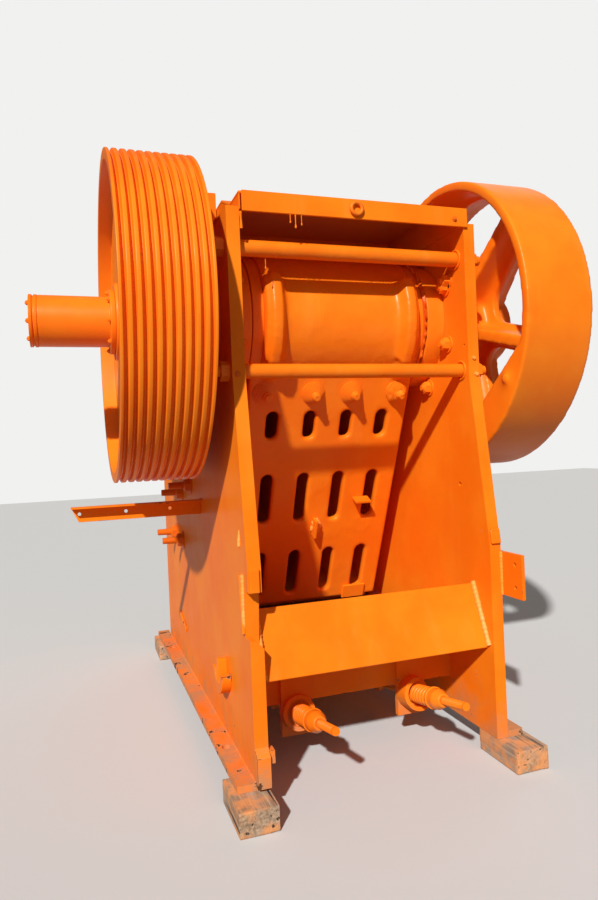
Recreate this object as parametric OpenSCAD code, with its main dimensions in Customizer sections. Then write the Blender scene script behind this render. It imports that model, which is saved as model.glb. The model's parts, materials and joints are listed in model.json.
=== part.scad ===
// Single-toggle jaw crusher, free-standing on timber blocks. Millimetres, +Z up.
// X runs from the belt pulley (-X) to the flywheel (+X). +Y points to the feed end,
// where the fixed jaw stands. The origin is the centre of the four anchor holes,
// in the plane of the base flanges' undersides.

/* [Frame] */
// Clear width between the side plates
inner_w = 1105; // [1090:5:1160]
// Thickness of each side plate
side_t = 58; // [45:1:66]
// Height of the side plates above their base
frame_h = 2440; // [2400:5:2480]
// Length of the frame along its base
frame_len = 2460; // [2440:10:2600]
// Set-back of the upper rear edge from the lower one
rear_set = 115; // [90:5:140]
// Height where the rear edge begins to lean forward
knee_low_z = 910; // [880:10:960]
// Distance from the frame's top down to where the rear edge turns upright
knee_drop = 735; // [690:5:790]
// Distance from the upper rear edge to the main shaft
shaft_back = 520; // [510:2:530]
// Distance from the frame's top down to the main shaft
shaft_drop = 410; // [404:2:420]
// Length of the cut corner at the front of the frame's top
corner_len = 260; // [200:10:320]
// Height of that cut corner
corner_h = 200; // [140:10:260]
// Height of the recess low in the left plate's rear edge
recess_h = 198; // [150:2:230]
// Depth of that recess
recess_d = 75; // [50:1:90]

/* [Base] */
// Reach of the base flange outside the side plate
base_flange_w = 80; // [70:2:95]
// Thickness of the base flange
base_flange_t = 32; // [24:1:45]
// Reach of the base flange beyond the front edge
front_toe = 100; // [60:5:120]
// Radius of the anchor holes
anchor_r = 21; // [16:1:25]
// Distance between the anchor holes along the frame
anchor_span = 1700; // [1560:10:1760]
// Height of the timber blocks
timber_h = 105; // [80:5:150]
// Width of the timber blocks
timber_w = 170; // [160:5:200]
// Length of the timber blocks
timber_len = 300; // [220:10:340]
// Reach of the rear timbers behind the frame
timber_out = 145; // [100:5:160]

/* [Drive] */
// Number of belt grooves
groove_count = 10; // [8:1:10]
// Distance between neighbouring grooves
groove_pitch = 36.5; // [34:0.5:37]
// Depth of a belt groove
groove_d = 24; // [18:1:30]
// Outer radius of the belt pulley
pulley_r = 764; // [740:2:800]
// Depth of the dish in the pulley's outer face
dish_d = 70; // [50:2:100]
// Outer radius of the flywheel
flywheel_r = 770; // [740:2:800]
// Face width of the flywheel
flywheel_w = 370; // [340:5:380]
// Thickness of the flywheel's rim
rim_t = 48; // [40:1:60]
// Number of spokes in the flywheel
spoke_count = 6; // [5:1:7]
// Thickness of the rib along each spoke
spoke_rib_t = 62; // [48:1:72]
// Gap between a side plate and the wheel beside it
wheel_gap = 100; // [96:1:115]
// Throw of the eccentric
ecc = 12; // [8:1:14]
// Direction in which the eccentric points at rest
ecc_angle = 51; // [40:1:60]
// Radius of the eccentric part of the shaft
ecc_r = 150; // [142:1:156]
// Radius of the shaft in its main bearings
journal_r = 130; // [120:1:136]
// Radius of the shaft in the wheels
wheel_seat_r = 110; // [100:1:116]
// Radius of the sleeve over the shaft's end
sleeve_r = 118; // [112:1:130]
// Length of the sleeve and its cap
sleeve_len = 376; // [320:4:400]
// Distance of the counterweight's straight edge from the shaft
weight_chord = 579; // [560:1:620]
// Thickness of the counterweight
weight_t = 60; // [40:2:90]

/* [Swing jaw] */
// Lean of the pitman's back from the vertical
pit_lean = 25.2; // [24.8:0.2:25.6]
// Distance from the eccentric to the pitman's back
back_off = 276; // [270:1:286]
// Half the width of the pitman's body
pit_half = 440; // [430:2:450]
// Radius of the pitman's barrel
barrel_r = 330; // [322:1:336]
// Radius of the ears on the barrel
ear_r = 385; // [370:1:400]
// Height of the lower end of the pitman's back
pit_foot_z = 350; // [340:2:370]
// Wall of the pitman's box casting
pit_wall = 45; // [36:1:52]
// Distance between the core slots across the pitman
slot_pitch = 202; // [196:1:210]
// Width of a core slot
slot_w = 66; // [50:1:76]
// Thickness of the jaw dies without their ridges
die_t = 62; // [50:1:70]
// Height of the ridges on the jaw dies
ridge_h = 28; // [18:1:32]
// Number of ridges on a jaw die
ridge_count = 9; // [7:1:11]
// Gape between the jaws at the top
gape = 830; // [790:5:850]

/* [Toggle] */
// Height of the slanted cover plate over the toggle beam
cover_h = 306; // [280:2:320]
// Tilt of the slanted cover plate
cover_tilt = 21.6; // [18:0.2:25]
// Radius of the tension rods
rod_r = 18; // [14:1:20]
// Distance of the tension rods from the middle
rod_x = 305; // [290:1:315]
// Rise of the tension rods towards the rear
rod_rise = 11.5; // [9:0.5:13]
// Thickness of the toggle plate's rounded ends
toggle_t = 56; // [44:1:64]
// Mean radius of a spring coil
spring_r = 38; // [34:1:41]
// Radius of the spring wire
spring_wire = 8; // [6:0.5:9]
// Number of turns in a spring
spring_turns = 10; // [7:1:10]
// Length of a spring
spring_len = 200; // [190:2:220]

/* [Ties and cover] */
// Radius of the upper tie bar
tie_hi_r = 36; // [30:1:42]
// Radius of the lower tie bar
tie_lo_r = 33; // [28:1:40]
// Height of the rear lip of the cover hood
hood_lip = 90; // [80:2:100]
// How far the hood stands above the side plates
hood_up = 68; // [60:2:80]
// Depth of the hood from rear to front
hood_len = 900; // [850:10:930]
// Thickness of the hood's plate
hood_t = 12; // [8:1:16]

/* [Hidden] */
$fn = 96;

fit = 0.3;
side_in = inner_w / 2;
side_out = side_in + side_t;
base_rear = -frame_len / 2;
base_front = frame_len / 2;
top_rear = base_rear + rear_set;
shaft_y = top_rear + shaft_back;
shaft_z = frame_h - shaft_drop;
ecc_y = shaft_y + ecc * cos(ecc_angle);
ecc_z = shaft_z + ecc * sin(ecc_angle);
orange = [0.95, 0.38, 0.05];
steel = [0.45, 0.43, 0.40];
wood = [0.45, 0.36, 0.27];

// Recess and pads on the lower rear edges
recess_z = 612;
recess_rake = 25;
recess_bevel = [34, 38];
pad_t = 14;
pad_inset = 4;
left_pad_in = 11;
left_pad_h = 98;
right_pad_z = [914, 976];

// Small pieces on the outer faces
foot_clip_h = [14, 172];
foot_clip_t = 32;
foot_lug_w = 24;
foot_lug_z = [105, 160];
side_bar_w = 26;
side_bar_t = 12;
side_bars = [[[645, 320], [415, 255]], [[-1110, 868], [-1140, 622]]];
lug_y = base_rear + 490;
lug_z = 352;
lug_r = 105;
lug_hole_r = 57;
lug_len = 46;
lug_post = [15, 115];
bracket_plate = [16, 241, 203];
bracket_plate_out = 151;
bracket_plate_z = 672;
bracket_hole_r = 10;
bracket_hole_y = 51;
bracket_holes = [47.5, 153.5];

// Main bearings
housing_r = 262;
housing_flange_r = 350;
housing_flange_t = 38;
housing_ring_r = 322;
housing_ring_gap = 8;
housing_caps = [[232, 54], [198, 70]];
cover_r = 318;
barrel_half = 395;
cover_ring_w = 55;
cover_face_x = barrel_half + cover_ring_w;

// Belt pulley and the sleeve that stands in its dish
groove_edge = 22.25;
groove_half = [14, 10.5, 5];
groove_shoulder = 6;
pulley_w = (groove_count - 1) * groove_pitch + 2 * groove_edge;
pulley_rim_t = 28;
pulley_web_t = 40;
pulley_hub_t = 70;
hub_inset = 32;
hub_end = 10;
sleeve_x = -side_out - wheel_gap - pulley_w + hub_inset;
sleeve_flange_t = 24;
sleeve_flange_w = 34;
sleeve_cap_t = 36;

// Flywheel
hub_t = 72;
fly_hub_end = 20;
web_at = 200;
web_t = 45;
window_rim = 24;
window_half = 66;
window_corner_r = 74;
window_root_r = 104;
rib_left = [50, 110];
rib_right = [325, 290];
first_spoke = 196;
stud_r = 24;
stud_h = 18;
stud_at = [689, 210];

// Pitman, in its own frame: v forward, w up along its back
pit_len = (ecc_z - pit_foot_z - back_off * sin(pit_lean)) / cos(pit_lean);
foot_round = [-150, -pit_len - 45];
seat_top = [422, 0];
seat_low = [300, -pit_len - 163];
seat_tilt = atan((seat_top[0] - seat_low[0]) / (seat_top[1] - seat_low[1]));
die_len = pit_len + 123;
die_half = 505;
wedge = [58, 100, 70];
row_top = 456;
row_low = pit_len - 367;
row_w = [-row_top, 28 - (row_top + row_low) / 2, -row_low];
row_len = [155, 300, 297];
cell_gap = 40;
cell_front = 250;
cell_w = [-row_top + 115, (row_w[0] + row_w[1]) / 2, (row_w[1] + row_w[2]) / 2, -pit_len + 190];
toggle_hole_r = toggle_t / 2 + 2 * ecc + 14;
toggle_foot = [-back_off + 36, -pit_len + 92];
ear_x = 322;
ear_t = 50;
ear_flare = 34;
ear_step = 22;
ear_angles = [126, 194];
ear_foot = [46, -212];
bolt_w = -277;
bolt_x = [-360, -105, 105, 360];
bolt_stack = [[60, 22], [52, 42], [38, 60], [22, 80]];
tabs = [[200, -910, 90, 16, 60], [-20, -1120, 16, 110, 50], [222, -1578, 138, 85, 14]];

// Fixed jaw, set out from the top of the swing jaw's face
swing_face_v = seat_top[0] + fit + die_t + ridge_h;
fixed_face_y = ecc_y + swing_face_v * cos(pit_lean) + gape;
wall_y = fixed_face_y + ridge_h + die_t + fit;
wall_t = 60;
wall_low_z = 260;
wall_top_gap = 60;
fixed_low_z = 400;
fixed_top_z = frame_h - 210;
fixed_half = 525;
cheek_t = 24;
cheek_gap = 10;
cheek_back = 60;
cheek_low = [[640, 820], [760, fixed_low_z]];
cheek_step_z = shaft_z - 300;
front_rib_count = 6;
front_rib_t = 40;
front_rib_low_z = 300;
front_rib_top_z = frame_h - 260;
front_rib_step = (front_rib_top_z - front_rib_low_z) / (front_rib_count - 1);
stiffener_x = 275;
stiffener_t = 30;
stiffener_d = 90;

// Cover hood
hood_top = frame_h + hood_up;
hood_back = 170;
hood_slope = 160;
hood_rise = 60;
hood_front = 120;
hood_fall = 100;
hood_side = [12, 17];
hood_side_len = 160;

// Feed walls on top of the side plates: rear start, front end and height
hood_wall = [435, 60, 215];

// Angle iron that carried the belt guard
guard_end_x = 1285;
guard_y = top_rear + 885;
guard_gap = 129;
guard_z = shaft_z - pulley_r - guard_gap;
guard_leg = 70;
guard_drop = 80;
guard_t = 8;
guard_cut = 38;

// Tie bars
tie_hi = [top_rear + 81, frame_h - 154];
tie_lo = [top_rear + 69, frame_h - 698];
tie_pin_r = 24;
tie_nut_r = 44;
tie_nut_t = 40;
tie_end = 70;

// Toggle gear
cover_top = [top_rear + 35, 707];
cover_t = 28;
beam_y = [top_rear + 285, top_rear + 440];
beam_z = [176, 500];
seat_half = 410;
seat_d = 90;
seat_z = [286, 470];
toggle_half = 400;
toggle_web_t = toggle_t - 8;
toggle_rear = [beam_y[1] + seat_d, 378];
toggle_tip = [ecc_y + toggle_foot[0] * cos(pit_lean) - toggle_foot[1] * sin(pit_lean),
    ecc_z + toggle_foot[0] * sin(pit_lean) + toggle_foot[1] * cos(pit_lean)];
toggle_run = toggle_tip - toggle_rear;
rod_y0 = top_rear + 275;
rod_z0 = 136;
rod_front = 360;
rod_back = 540;
rod_eye = [44, 28, 20];
bracket_t = 30;
bracket_half = 75;
bracket_z = [30, 380];
cup_r = 80;
cup_wall = 20;
cup_floor = 50;
cup_rim = [66, 112];
cup_cut = [12, -66];
washer_at = cup_floor + spring_len + 2 * fit;
nut_line = [[52, 0], [52, 14], [47, 14], [47, 56], [30, 100]];

// Lays a side view, drawn as [y, z], into the plane x and gives it a thickness
module side_view(x, t) translate([x, 0, 0]) rotate([90, 0, 90]) linear_extrude(t) children();

// A round bar along X
module x_bar(r, x0, x1, y, z) translate([x0, y, z]) rotate([0, 90, 0]) cylinder(r = r, h = x1 - x0);

// A box from one corner to the other
module block(a, b) translate(a) cube(b - a);

// The same piece on the side that s points to
module on_side(s) mirror([s < 0 ? 1 : 0, 0, 0]) children();

// Points of an arc
function arc(c, r, a0, a1, n) =
    [for (i = [0:n]) let (a = a0 + (a1 - a0) * i / n) [c[0] + r * cos(a), c[1] + r * sin(a)]];

// A point at a radius and an angle
function polar(r, a) = [r * cos(a), r * sin(a)];

// The pitman's own frame
module in_pitman() translate([0, ecc_y, ecc_z]) rotate([pit_lean, 0, 0]) children();

// A round bar along X in the pitman's own frame, on the +X side
module barrel_disc(r, x0, x1) rotate([0, 90, 0]) translate([0, 0, x0]) cylinder(r = r, h = x1 - x0);

// A slot with round ends, upright
module slot(w, len) {
    square([w, len - w], center = true);
    for (s = [-1, 1]) translate([0, s * (len - w) / 2]) circle(w / 2);
}

module side_outline()
    polygon([[base_rear, 0], [base_rear, knee_low_z], [top_rear, frame_h - knee_drop], [top_rear, frame_h],
        [base_front - corner_len, frame_h], [base_front, frame_h - corner_h], [base_front, 0]]);

function edge_y(z) = base_rear + (z - knee_low_z) * rear_set / (frame_h - knee_drop - knee_low_z);

module side_plate(x)
    difference() {
        side_view(x, side_t) side_outline();
        x_bar(housing_r, x - 1, x + side_t + 1, shaft_y, shaft_z);
        for (t = [tie_hi, tie_lo]) x_bar(tie_pin_r + fit, x - 1, x + side_t + 1, t[0], t[1]);
    }

module left_side_plate()
    color(orange) difference() {
        side_plate(-side_out);
        side_view(-side_out - 1, side_t + 2)
            polygon([[base_rear - 1, recess_z], [base_rear + recess_d, recess_z],
                [base_rear + recess_d - recess_rake, recess_z + recess_h],
                [base_rear - 1, recess_z + recess_h]]);
        translate([0, base_rear + recess_d, 0]) rotate([90, 0, 0]) linear_extrude(recess_d + 1)
            polygon([[-side_in - recess_bevel[0], recess_z + 1], [1 - side_in, recess_z + 1],
                [1 - side_in, recess_z - recess_bevel[1]]]);
    }

module right_side_plate() color(orange) side_plate(side_in);

module base_flange(x)
    color(orange) difference() {
        block([x, base_rear, 0], [x + base_flange_w, base_front + front_toe, base_flange_t]);
        for (s = [-1, 1]) translate([x + base_flange_w / 2, s * anchor_span / 2, -1])
            cylinder(r = anchor_r, h = base_flange_t + 2);
    }

module left_base_flange() base_flange(-side_out - base_flange_w);
module right_base_flange() base_flange(side_out);

module left_foot_clip()
    color(orange) {
        side_view(-side_out, side_t)
            polygon([[base_rear - foot_clip_t, foot_clip_h[0]],
                [base_rear - foot_clip_t, foot_clip_h[1] - foot_clip_t],
                [base_rear, foot_clip_h[1]], [base_rear, foot_clip_h[0]]]);
        block([-side_in, base_rear - foot_clip_t / 2, foot_lug_z[0]],
            [foot_lug_w - side_in, base_rear + foot_clip_t, foot_lug_z[1]]);
    }

module timber_blocks()
    color(wood) for (s = [-1, 1], y = [base_rear - timber_out, base_front + front_toe - timber_len])
        translate([s * (side_in + timber_w / 2) - timber_w / 2, y, -timber_h])
            cube([timber_w, timber_len, timber_h]);

module front_wall()
    color(orange) block([-side_in, wall_y, wall_low_z], [side_in, wall_y + wall_t, frame_h - wall_top_gap]);

module front_ribs()
    color(orange) for (i = [0:front_rib_count - 1]) let (z = front_rib_low_z + i * front_rib_step)
        block([-side_in, wall_y + wall_t, z], [side_in, base_front, z + front_rib_t]);

module front_stiffeners()
    color(orange) for (s = [-1, 1], i = [0:front_rib_count - 2])
        let (z = front_rib_low_z + i * front_rib_step)
        translate([s * stiffener_x - stiffener_t / 2, wall_y + wall_t, z + front_rib_t])
            cube([stiffener_t, stiffener_d, front_rib_step - front_rib_t]);

// Cross-section of a ridged die: flat back, rounded trapezoid ridges towards +v
function ridge_line(half, n) = [for (i = [0:n - 1], k = [0:3])
    let (p = 2 * half / n, x = -half + i * p)
        [x + p * [0, 0.18, 0.5, 0.68][k], die_t + ridge_h * [0, 1, 1, 0][k]]];

module die_plan(half)
    polygon(concat([[-half, 0]], ridge_line(half, ridge_count), [[half, die_t], [half, 0]]));

module fixed_jaw()
    color(steel) translate([0, wall_y - fit, fixed_low_z]) mirror([0, 1, 0])
        linear_extrude(fixed_top_z - fixed_low_z) die_plan(fixed_half);

module cheek_plate(x) {
    front = wall_y - die_t - ridge_h - cheek_gap;
    back = shaft_y + housing_r + cheek_back;
    color(steel) side_view(x, cheek_t)
        polygon(concat(
            [[front, fixed_low_z], [front, fixed_top_z], [back, fixed_top_z], [back, cheek_step_z]],
            [for (p = cheek_low) [ecc_y + p[0], p[1]]]));
}

module left_cheek_plate() cheek_plate(-side_in);
module right_cheek_plate() cheek_plate(side_in - cheek_t);

module hood() {
    y1 = top_rear + hood_back;
    y2 = y1 + hood_slope;
    y3 = top_rear + hood_len - hood_front;
    y4 = top_rear + hood_len;
    crown = hood_top + hood_rise;
    color(orange) {
        side_view(-side_in + fit, inner_w - 2 * fit)
            polygon([[top_rear, hood_top], [top_rear, hood_top - hood_t], [y1, hood_top - hood_t],
                [y2, crown], [y3, crown],
                [y4, crown - hood_fall], [y4, crown - hood_fall + hood_t], [y3 + hood_t / 2, crown + hood_t],
                [y2 - hood_t / 2, crown + hood_t], [y1 - hood_t / 2, hood_top]]);
        block([hood_side[0] - side_in, top_rear - hood_t, hood_top - hood_lip],
            [side_in + hood_side[1], top_rear, hood_top]);
        block([side_in - 1, top_rear - 1, hood_top - hood_t],
            [side_in + hood_side[1], top_rear + hood_side_len, hood_top]);
    }
}

module hood_wall(x)
    color(orange) block([x, top_rear + hood_wall[0], frame_h],
        [x + side_t, top_rear + hood_len - hood_wall[1], frame_h + hood_wall[2]]);

module left_hood_wall() hood_wall(-side_out);
module right_hood_wall() hood_wall(side_in);

module tie_bar(r, at) {
    color(orange) x_bar(r, -side_in, side_in, at[0], at[1]);
    color(orange) for (s = [-1, 1]) on_side(s) {
        x_bar(tie_pin_r, side_in, side_out + tie_end, at[0], at[1]);
        translate([side_out, at[0], at[1]]) rotate([0, 90, 0])
            cylinder(r = tie_nut_r, h = tie_nut_t, $fn = 6);
    }
}

module upper_tie_bar() tie_bar(tie_hi_r, tie_hi);
module lower_tie_bar() tie_bar(tie_lo_r, tie_lo);

module toggle_cover()
    color(orange) translate([-side_in, cover_top[0], cover_top[1]]) rotate([-cover_tilt, 0, 0])
        translate([0, 0, -cover_h]) cube([inner_w, cover_t, cover_h]);

module toggle_beam()
    color(orange) block([-side_in, beam_y[0], beam_z[0]], [side_in, beam_y[1], beam_z[1]]);

module toggle_seat()
    color(steel) difference() {
        block([-seat_half, beam_y[1], seat_z[0]], [seat_half, toggle_rear[0], seat_z[1]]);
        x_bar(toggle_t / 2 + fit, -seat_half - 1, seat_half + 1, toggle_rear[0], toggle_rear[1]);
    }

module toggle_plate()
    color(steel) {
        for (p = [toggle_rear, toggle_tip]) x_bar(toggle_t / 2, -toggle_half, toggle_half, p[0], p[1]);
        translate([-toggle_half, toggle_rear[0], toggle_rear[1]])
            rotate([atan2(toggle_run[1], toggle_run[0]), 0, 0])
            translate([0, 0, -toggle_web_t / 2]) cube([2 * toggle_half, norm(toggle_run), toggle_web_t]);
    }

module in_rod(s) translate([s * rod_x, rod_y0, rod_z0]) rotate([90 - rod_rise, 0, 0]) children();

// Plate under the toggle beam's rear face with a round cup for one spring
module rod_bracket(s, rim)
    difference() {
        union() {
            block([s * rod_x - bracket_half, beam_y[0] - bracket_t, bracket_z[0]],
                [s * rod_x + bracket_half, beam_y[0], bracket_z[1]]);
            in_rod(s) cylinder(r = cup_r, h = rim);
        }
        in_rod(s) translate([0, 0, cup_floor]) cylinder(r = cup_r - cup_wall, h = rim);
        in_rod(s) translate([0, 0, -cup_floor]) cylinder(r = rod_r + fit, h = 2 * cup_floor + 1);
        block([s * rod_x - cup_r - 1, beam_y[0], 0],
            [s * rod_x + cup_r + 1, beam_y[0] + bracket_z[1], bracket_z[1]]);
    }

module left_rod_bracket() color(orange) rod_bracket(-1, cup_rim[0]);

module right_rod_bracket()
    color(orange) difference() {
        rod_bracket(1, cup_rim[1]);
        in_rod(1) translate([cup_cut[0], cup_cut[1], cup_floor]) cube([cup_r, 3 * cup_r, cup_rim[1]]);
    }

module tension_rods()
    color(orange) for (s = [-1, 1]) in_rod(s) {
        translate([0, 0, -rod_front]) cylinder(r = rod_r, h = rod_front + rod_back);
        translate([-rod_eye[1] / 2, 0, -rod_front - rod_eye[2]]) rotate([0, 90, 0]) difference() {
            cylinder(r = rod_eye[0], h = rod_eye[1]);
            translate([0, 0, -1]) cylinder(r = rod_eye[2], h = rod_eye[1] + 2);
        }
    }

function coil(r, wire, turns, len, seg, side) = let (n = turns * seg)
    [for (i = [0:n], k = [0:side - 1]) let (a = 360 * i / seg, b = 90 + 360 * k / side, q = r + wire * cos(b))
        [q * cos(a), q * sin(a), wire + (len - 2 * wire) * i / n + wire * sin(b)]];

module spring(r, wire, turns, len) {
    seg = 20;
    side = 6;
    n = turns * seg;
    polyhedron(coil(r, wire, turns, len, seg, side), concat(
        [[for (k = [0:side - 1]) k]], [[for (k = [0:side - 1]) n * side + side - 1 - k]],
        [for (i = [0:n - 1], k = [0:side - 1]) let (a = i * side, b = (k + 1) % side)
            [a + k, a + side + k, a + side + b, a + b]]));
}

module rod_springs()
    color(orange) for (s = [-1, 1]) in_rod(s) translate([0, 0, cup_floor + fit])
        spring(spring_r, spring_wire, spring_turns, spring_len);

module rod_washers()
    color(orange) for (s = [-1, 1]) in_rod(s) translate([0, 0, washer_at]) rotate_extrude()
        polygon(concat([[rod_r + fit, 0]], nut_line, [[rod_r + fit, nut_line[4][1]]]));

module bearing_housing(s)
    color(orange) on_side(s) difference() {
        union() {
            x_bar(housing_r - fit, side_in, side_out, shaft_y, shaft_z);
            x_bar(housing_flange_r, side_out, side_out + housing_flange_t, shaft_y, shaft_z);
            x_bar(housing_ring_r, cover_face_x + housing_ring_gap, side_in, shaft_y, shaft_z);
            for (c = housing_caps) x_bar(c[0], side_out, side_out + c[1], shaft_y, shaft_z);
        }
        x_bar(journal_r + fit, 0, side_out + wheel_gap, shaft_y, shaft_z);
    }

module left_bearing_housing() bearing_housing(-1);
module right_bearing_housing() bearing_housing(1);

module guard_bracket()
    color(orange) {
        block([-guard_end_x, guard_y - guard_leg, guard_z - guard_t], [-side_out, guard_y, guard_z]);
        translate([0, guard_y, 0]) rotate([90, 0, 0]) linear_extrude(guard_t)
            polygon([[-guard_end_x, guard_z], [guard_cut - guard_end_x, guard_z - guard_drop],
                [-side_out, guard_z - guard_drop], [-side_out, guard_z]]);
    }

module right_bracket_plate()
    color(orange) translate([side_out, base_rear - bracket_plate_out, bracket_plate_z]) difference() {
        cube(bracket_plate);
        for (z = bracket_holes) translate([-1, bracket_hole_y, z]) rotate([0, 90, 0])
            cylinder(r = bracket_hole_r, h = bracket_plate[0] + 2);
    }

module left_lifting_lug()
    color(orange) translate([-side_out, lug_y, lug_z]) rotate([0, -90, 0]) {
        difference() {
            cylinder(r = lug_r, h = lug_len);
            translate([0, 0, -1]) cylinder(r = lug_hole_r, h = lug_len + 2);
            translate([0, -lug_r - 1, -1]) cube([lug_r + 1, 2 * lug_r + 2, lug_len + 2]);
        }
        translate([-lug_hole_r - 1, -lug_post[0], 0]) cube([lug_post[1], 2 * lug_post[0], lug_len]);
    }

// A flat bar on the left plate's outer face, from one point [y, z] to another
module side_bar(a, b)
    translate([-side_out - side_bar_t, a[0], a[1]]) rotate([atan2(b[1] - a[1], b[0] - a[0]), 0, 0])
        translate([0, 0, -side_bar_w / 2]) cube([side_bar_t, norm(b - a), side_bar_w]);

module left_side_bars() color(orange) for (p = side_bars) side_bar(p[0], p[1]);

module left_edge_pad()
    color(orange) block([pad_inset - side_out, base_rear - pad_t, recess_z + recess_h],
        [-side_in - left_pad_in, base_rear, recess_z + recess_h + left_pad_h]);

module right_edge_pad()
    color(orange) side_view(side_in + pad_inset, side_t - 2 * pad_inset)
        polygon([for (z = right_pad_z) [edge_y(z), z],
        for (z = [right_pad_z[1], right_pad_z[0]]) [edge_y(z) - pad_t, z]]);

module eccentric_shaft()
    color(steel) {
        x_bar(ecc_r, -cover_face_x, cover_face_x, ecc_y, ecc_z);
        for (s = [-1, 1]) on_side(s)
            x_bar(journal_r, cover_face_x - 1, side_out + wheel_gap - fly_hub_end, shaft_y, shaft_z);
        x_bar(wheel_seat_r, sleeve_x, side_out + wheel_gap + flywheel_w - hub_end, shaft_y, shaft_z);
    }

// One groove: down its shoulder and flank, along its floor and up again
function groove(c) = concat(
    [for (k = [0:2]) [pulley_r - [0, groove_shoulder, groove_d][k], c - groove_half[k]]],
    [for (k = [2:-1:0]) [pulley_r - [0, groove_shoulder, groove_d][k], c + groove_half[k]]]);

// Half section of the pulley's rim: [radius, distance along the shaft]
module pulley_section() {
    r = pulley_r - groove_d - pulley_rim_t;
    polygon(concat([[r, 0], [pulley_r, 0]],
        [for (i = [0:groove_count - 1], p = groove(groove_edge + i * groove_pitch)) p],
        [[pulley_r, pulley_w], [r, pulley_w]]));
}

module spin_at(x) translate([x, shaft_y, shaft_z]) rotate([0, 90, 0]) rotate_extrude() children();

module drive_pulley()
    color(orange) spin_at(-side_out - wheel_gap - pulley_w) {
        pulley_section();
        translate([wheel_seat_r + fit, hub_inset]) square([pulley_hub_t, pulley_w - hub_inset - hub_end]);
        translate([wheel_seat_r + pulley_hub_t - 1, dish_d])
            square([pulley_r - groove_d - wheel_seat_r - pulley_hub_t - pulley_rim_t + 2, pulley_web_t]);
    }

// The opening between two spokes, drawn round the +X axis: round outer corners and one round root
module spoke_window() {
    half = 180 / spoke_count;
    r1 = flywheel_r - rim_t - window_rim;
    rc = r1 - window_corner_r;
    turn = half - asin((window_half + window_corner_r) / rc);
    root = (window_half + window_root_r) / sin(half);
    polygon(concat(
        arc(polar(rc, -turn), window_corner_r, -half - 90, -turn, 7),
        arc([0, 0], r1, 0.9 - turn, turn - 0.9, 9),
        arc(polar(rc, turn), window_corner_r, turn, half + 90, 7),
        arc([root, 0], window_root_r, half + 90, 270 - half, 10)));
}

module spoke_rib(edge, face) {
    r0 = wheel_seat_r + hub_t - 8;
    r1 = flywheel_r - rim_t + 2;
    translate([0, 0, -spoke_rib_t / 2]) linear_extrude(spoke_rib_t)
        polygon([[face, r0], [edge[0], r0], [edge[1], r1], [face, r1]]);
}

module flywheel() {
    x = side_out + wheel_gap;
    inner_r = flywheel_r - rim_t + 2;
    step = 360 / spoke_count;
    color(orange) spin_at(x) {
        translate([flywheel_r - rim_t, 0]) square([rim_t, flywheel_w]);
        translate([wheel_seat_r + fit, fly_hub_end]) square([hub_t, flywheel_w - 2 * fly_hub_end]);
    }
    color(orange) translate([x, shaft_y, shaft_z]) {
        translate([web_at, 0, 0]) rotate([90, 0, 90]) linear_extrude(web_t) difference() {
            circle(inner_r);
            circle(wheel_seat_r + hub_t - 2);
            for (i = [0:spoke_count - 1]) rotate(first_spoke + (i + 0.5) * step) spoke_window();
        }
        for (i = [0:spoke_count - 1]) rotate([first_spoke + i * step, 0, 0]) {
            spoke_rib(rib_left, web_at + 2);
            spoke_rib(rib_right, web_at + web_t - 2);
        }
        rotate([90, 0, 90]) linear_extrude(weight_t) intersection() {
            circle(inner_r);
            rotate(ecc_angle + 180) translate([weight_chord, -flywheel_r]) square(2 * flywheel_r);
        }
        rotate([stud_at[1], 0, 0]) translate([-stud_h, stud_at[0], 0]) rotate([0, 90, 0])
            cylinder(r = stud_r, h = stud_h + 1);
    }
}

module shaft_sleeve()
    color(orange) {
        x_bar(sleeve_r, sleeve_x - sleeve_len + sleeve_cap_t, sleeve_x, shaft_y, shaft_z);
        x_bar(sleeve_r + sleeve_flange_w, sleeve_x - sleeve_flange_t, sleeve_x, shaft_y, shaft_z);
    }

module sleeve_cap()
    color(orange)
        x_bar(sleeve_r + 2, sleeve_x - sleeve_len, sleeve_x - sleeve_len + sleeve_cap_t, shaft_y, shaft_z);

// Side view of the pitman's body below its barrel
module pitman_side()
    polygon([[-back_off, -60], [-back_off, -pit_len], foot_round, seat_low, seat_top, [0, 0]]);

// A rib that stands proud of one end of the barrel and runs down into the back
module barrel_ear(s)
    on_side(s) {
        intersection() {
            union() {
                rotate([0, 90, 0]) translate([0, 0, ear_x - ear_flare])
                    cylinder(r1 = barrel_r - 6, r2 = ear_r, h = ear_flare);
                barrel_disc(ear_r, ear_x, ear_x + ear_t);
                barrel_disc(ear_r - ear_step, ear_x + ear_t - 1, barrel_half);
            }
            rotate([90, 0, 90]) linear_extrude(barrel_half)
                polygon([[0, 0], polar(2 * ear_r, ear_angles[0]), [-2 * ear_r, 0],
                    polar(2 * ear_r, ear_angles[1])]);
        }
        translate([ear_x, 0, 0]) rotate([90, 0, 90]) linear_extrude(ear_t)
            polygon([polar(ear_r, ear_angles[1] - 1), [-back_off - 1, ear_foot[1]],
                [ear_foot[0] - back_off, ear_foot[1]],
                polar(barrel_r - 20, ear_angles[1] - 1)]);
    }

module pitman_cell(i, j) {
    top = cell_w[j] - (j > 0 ? cell_gap / 2 : 0);
    low = cell_w[j + 1] + (j < 2 ? cell_gap / 2 : 0);
    x = i * slot_pitch;
    block([x - (slot_pitch - cell_gap) / 2, pit_wall - back_off, low],
        [x + (slot_pitch - cell_gap) / 2, cell_front, top]);
    translate([x, pit_wall - back_off + 1, row_w[j]]) rotate([90, 0, 0])
        linear_extrude(pit_wall + 2) slot(slot_w, row_len[j]);
}

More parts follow.
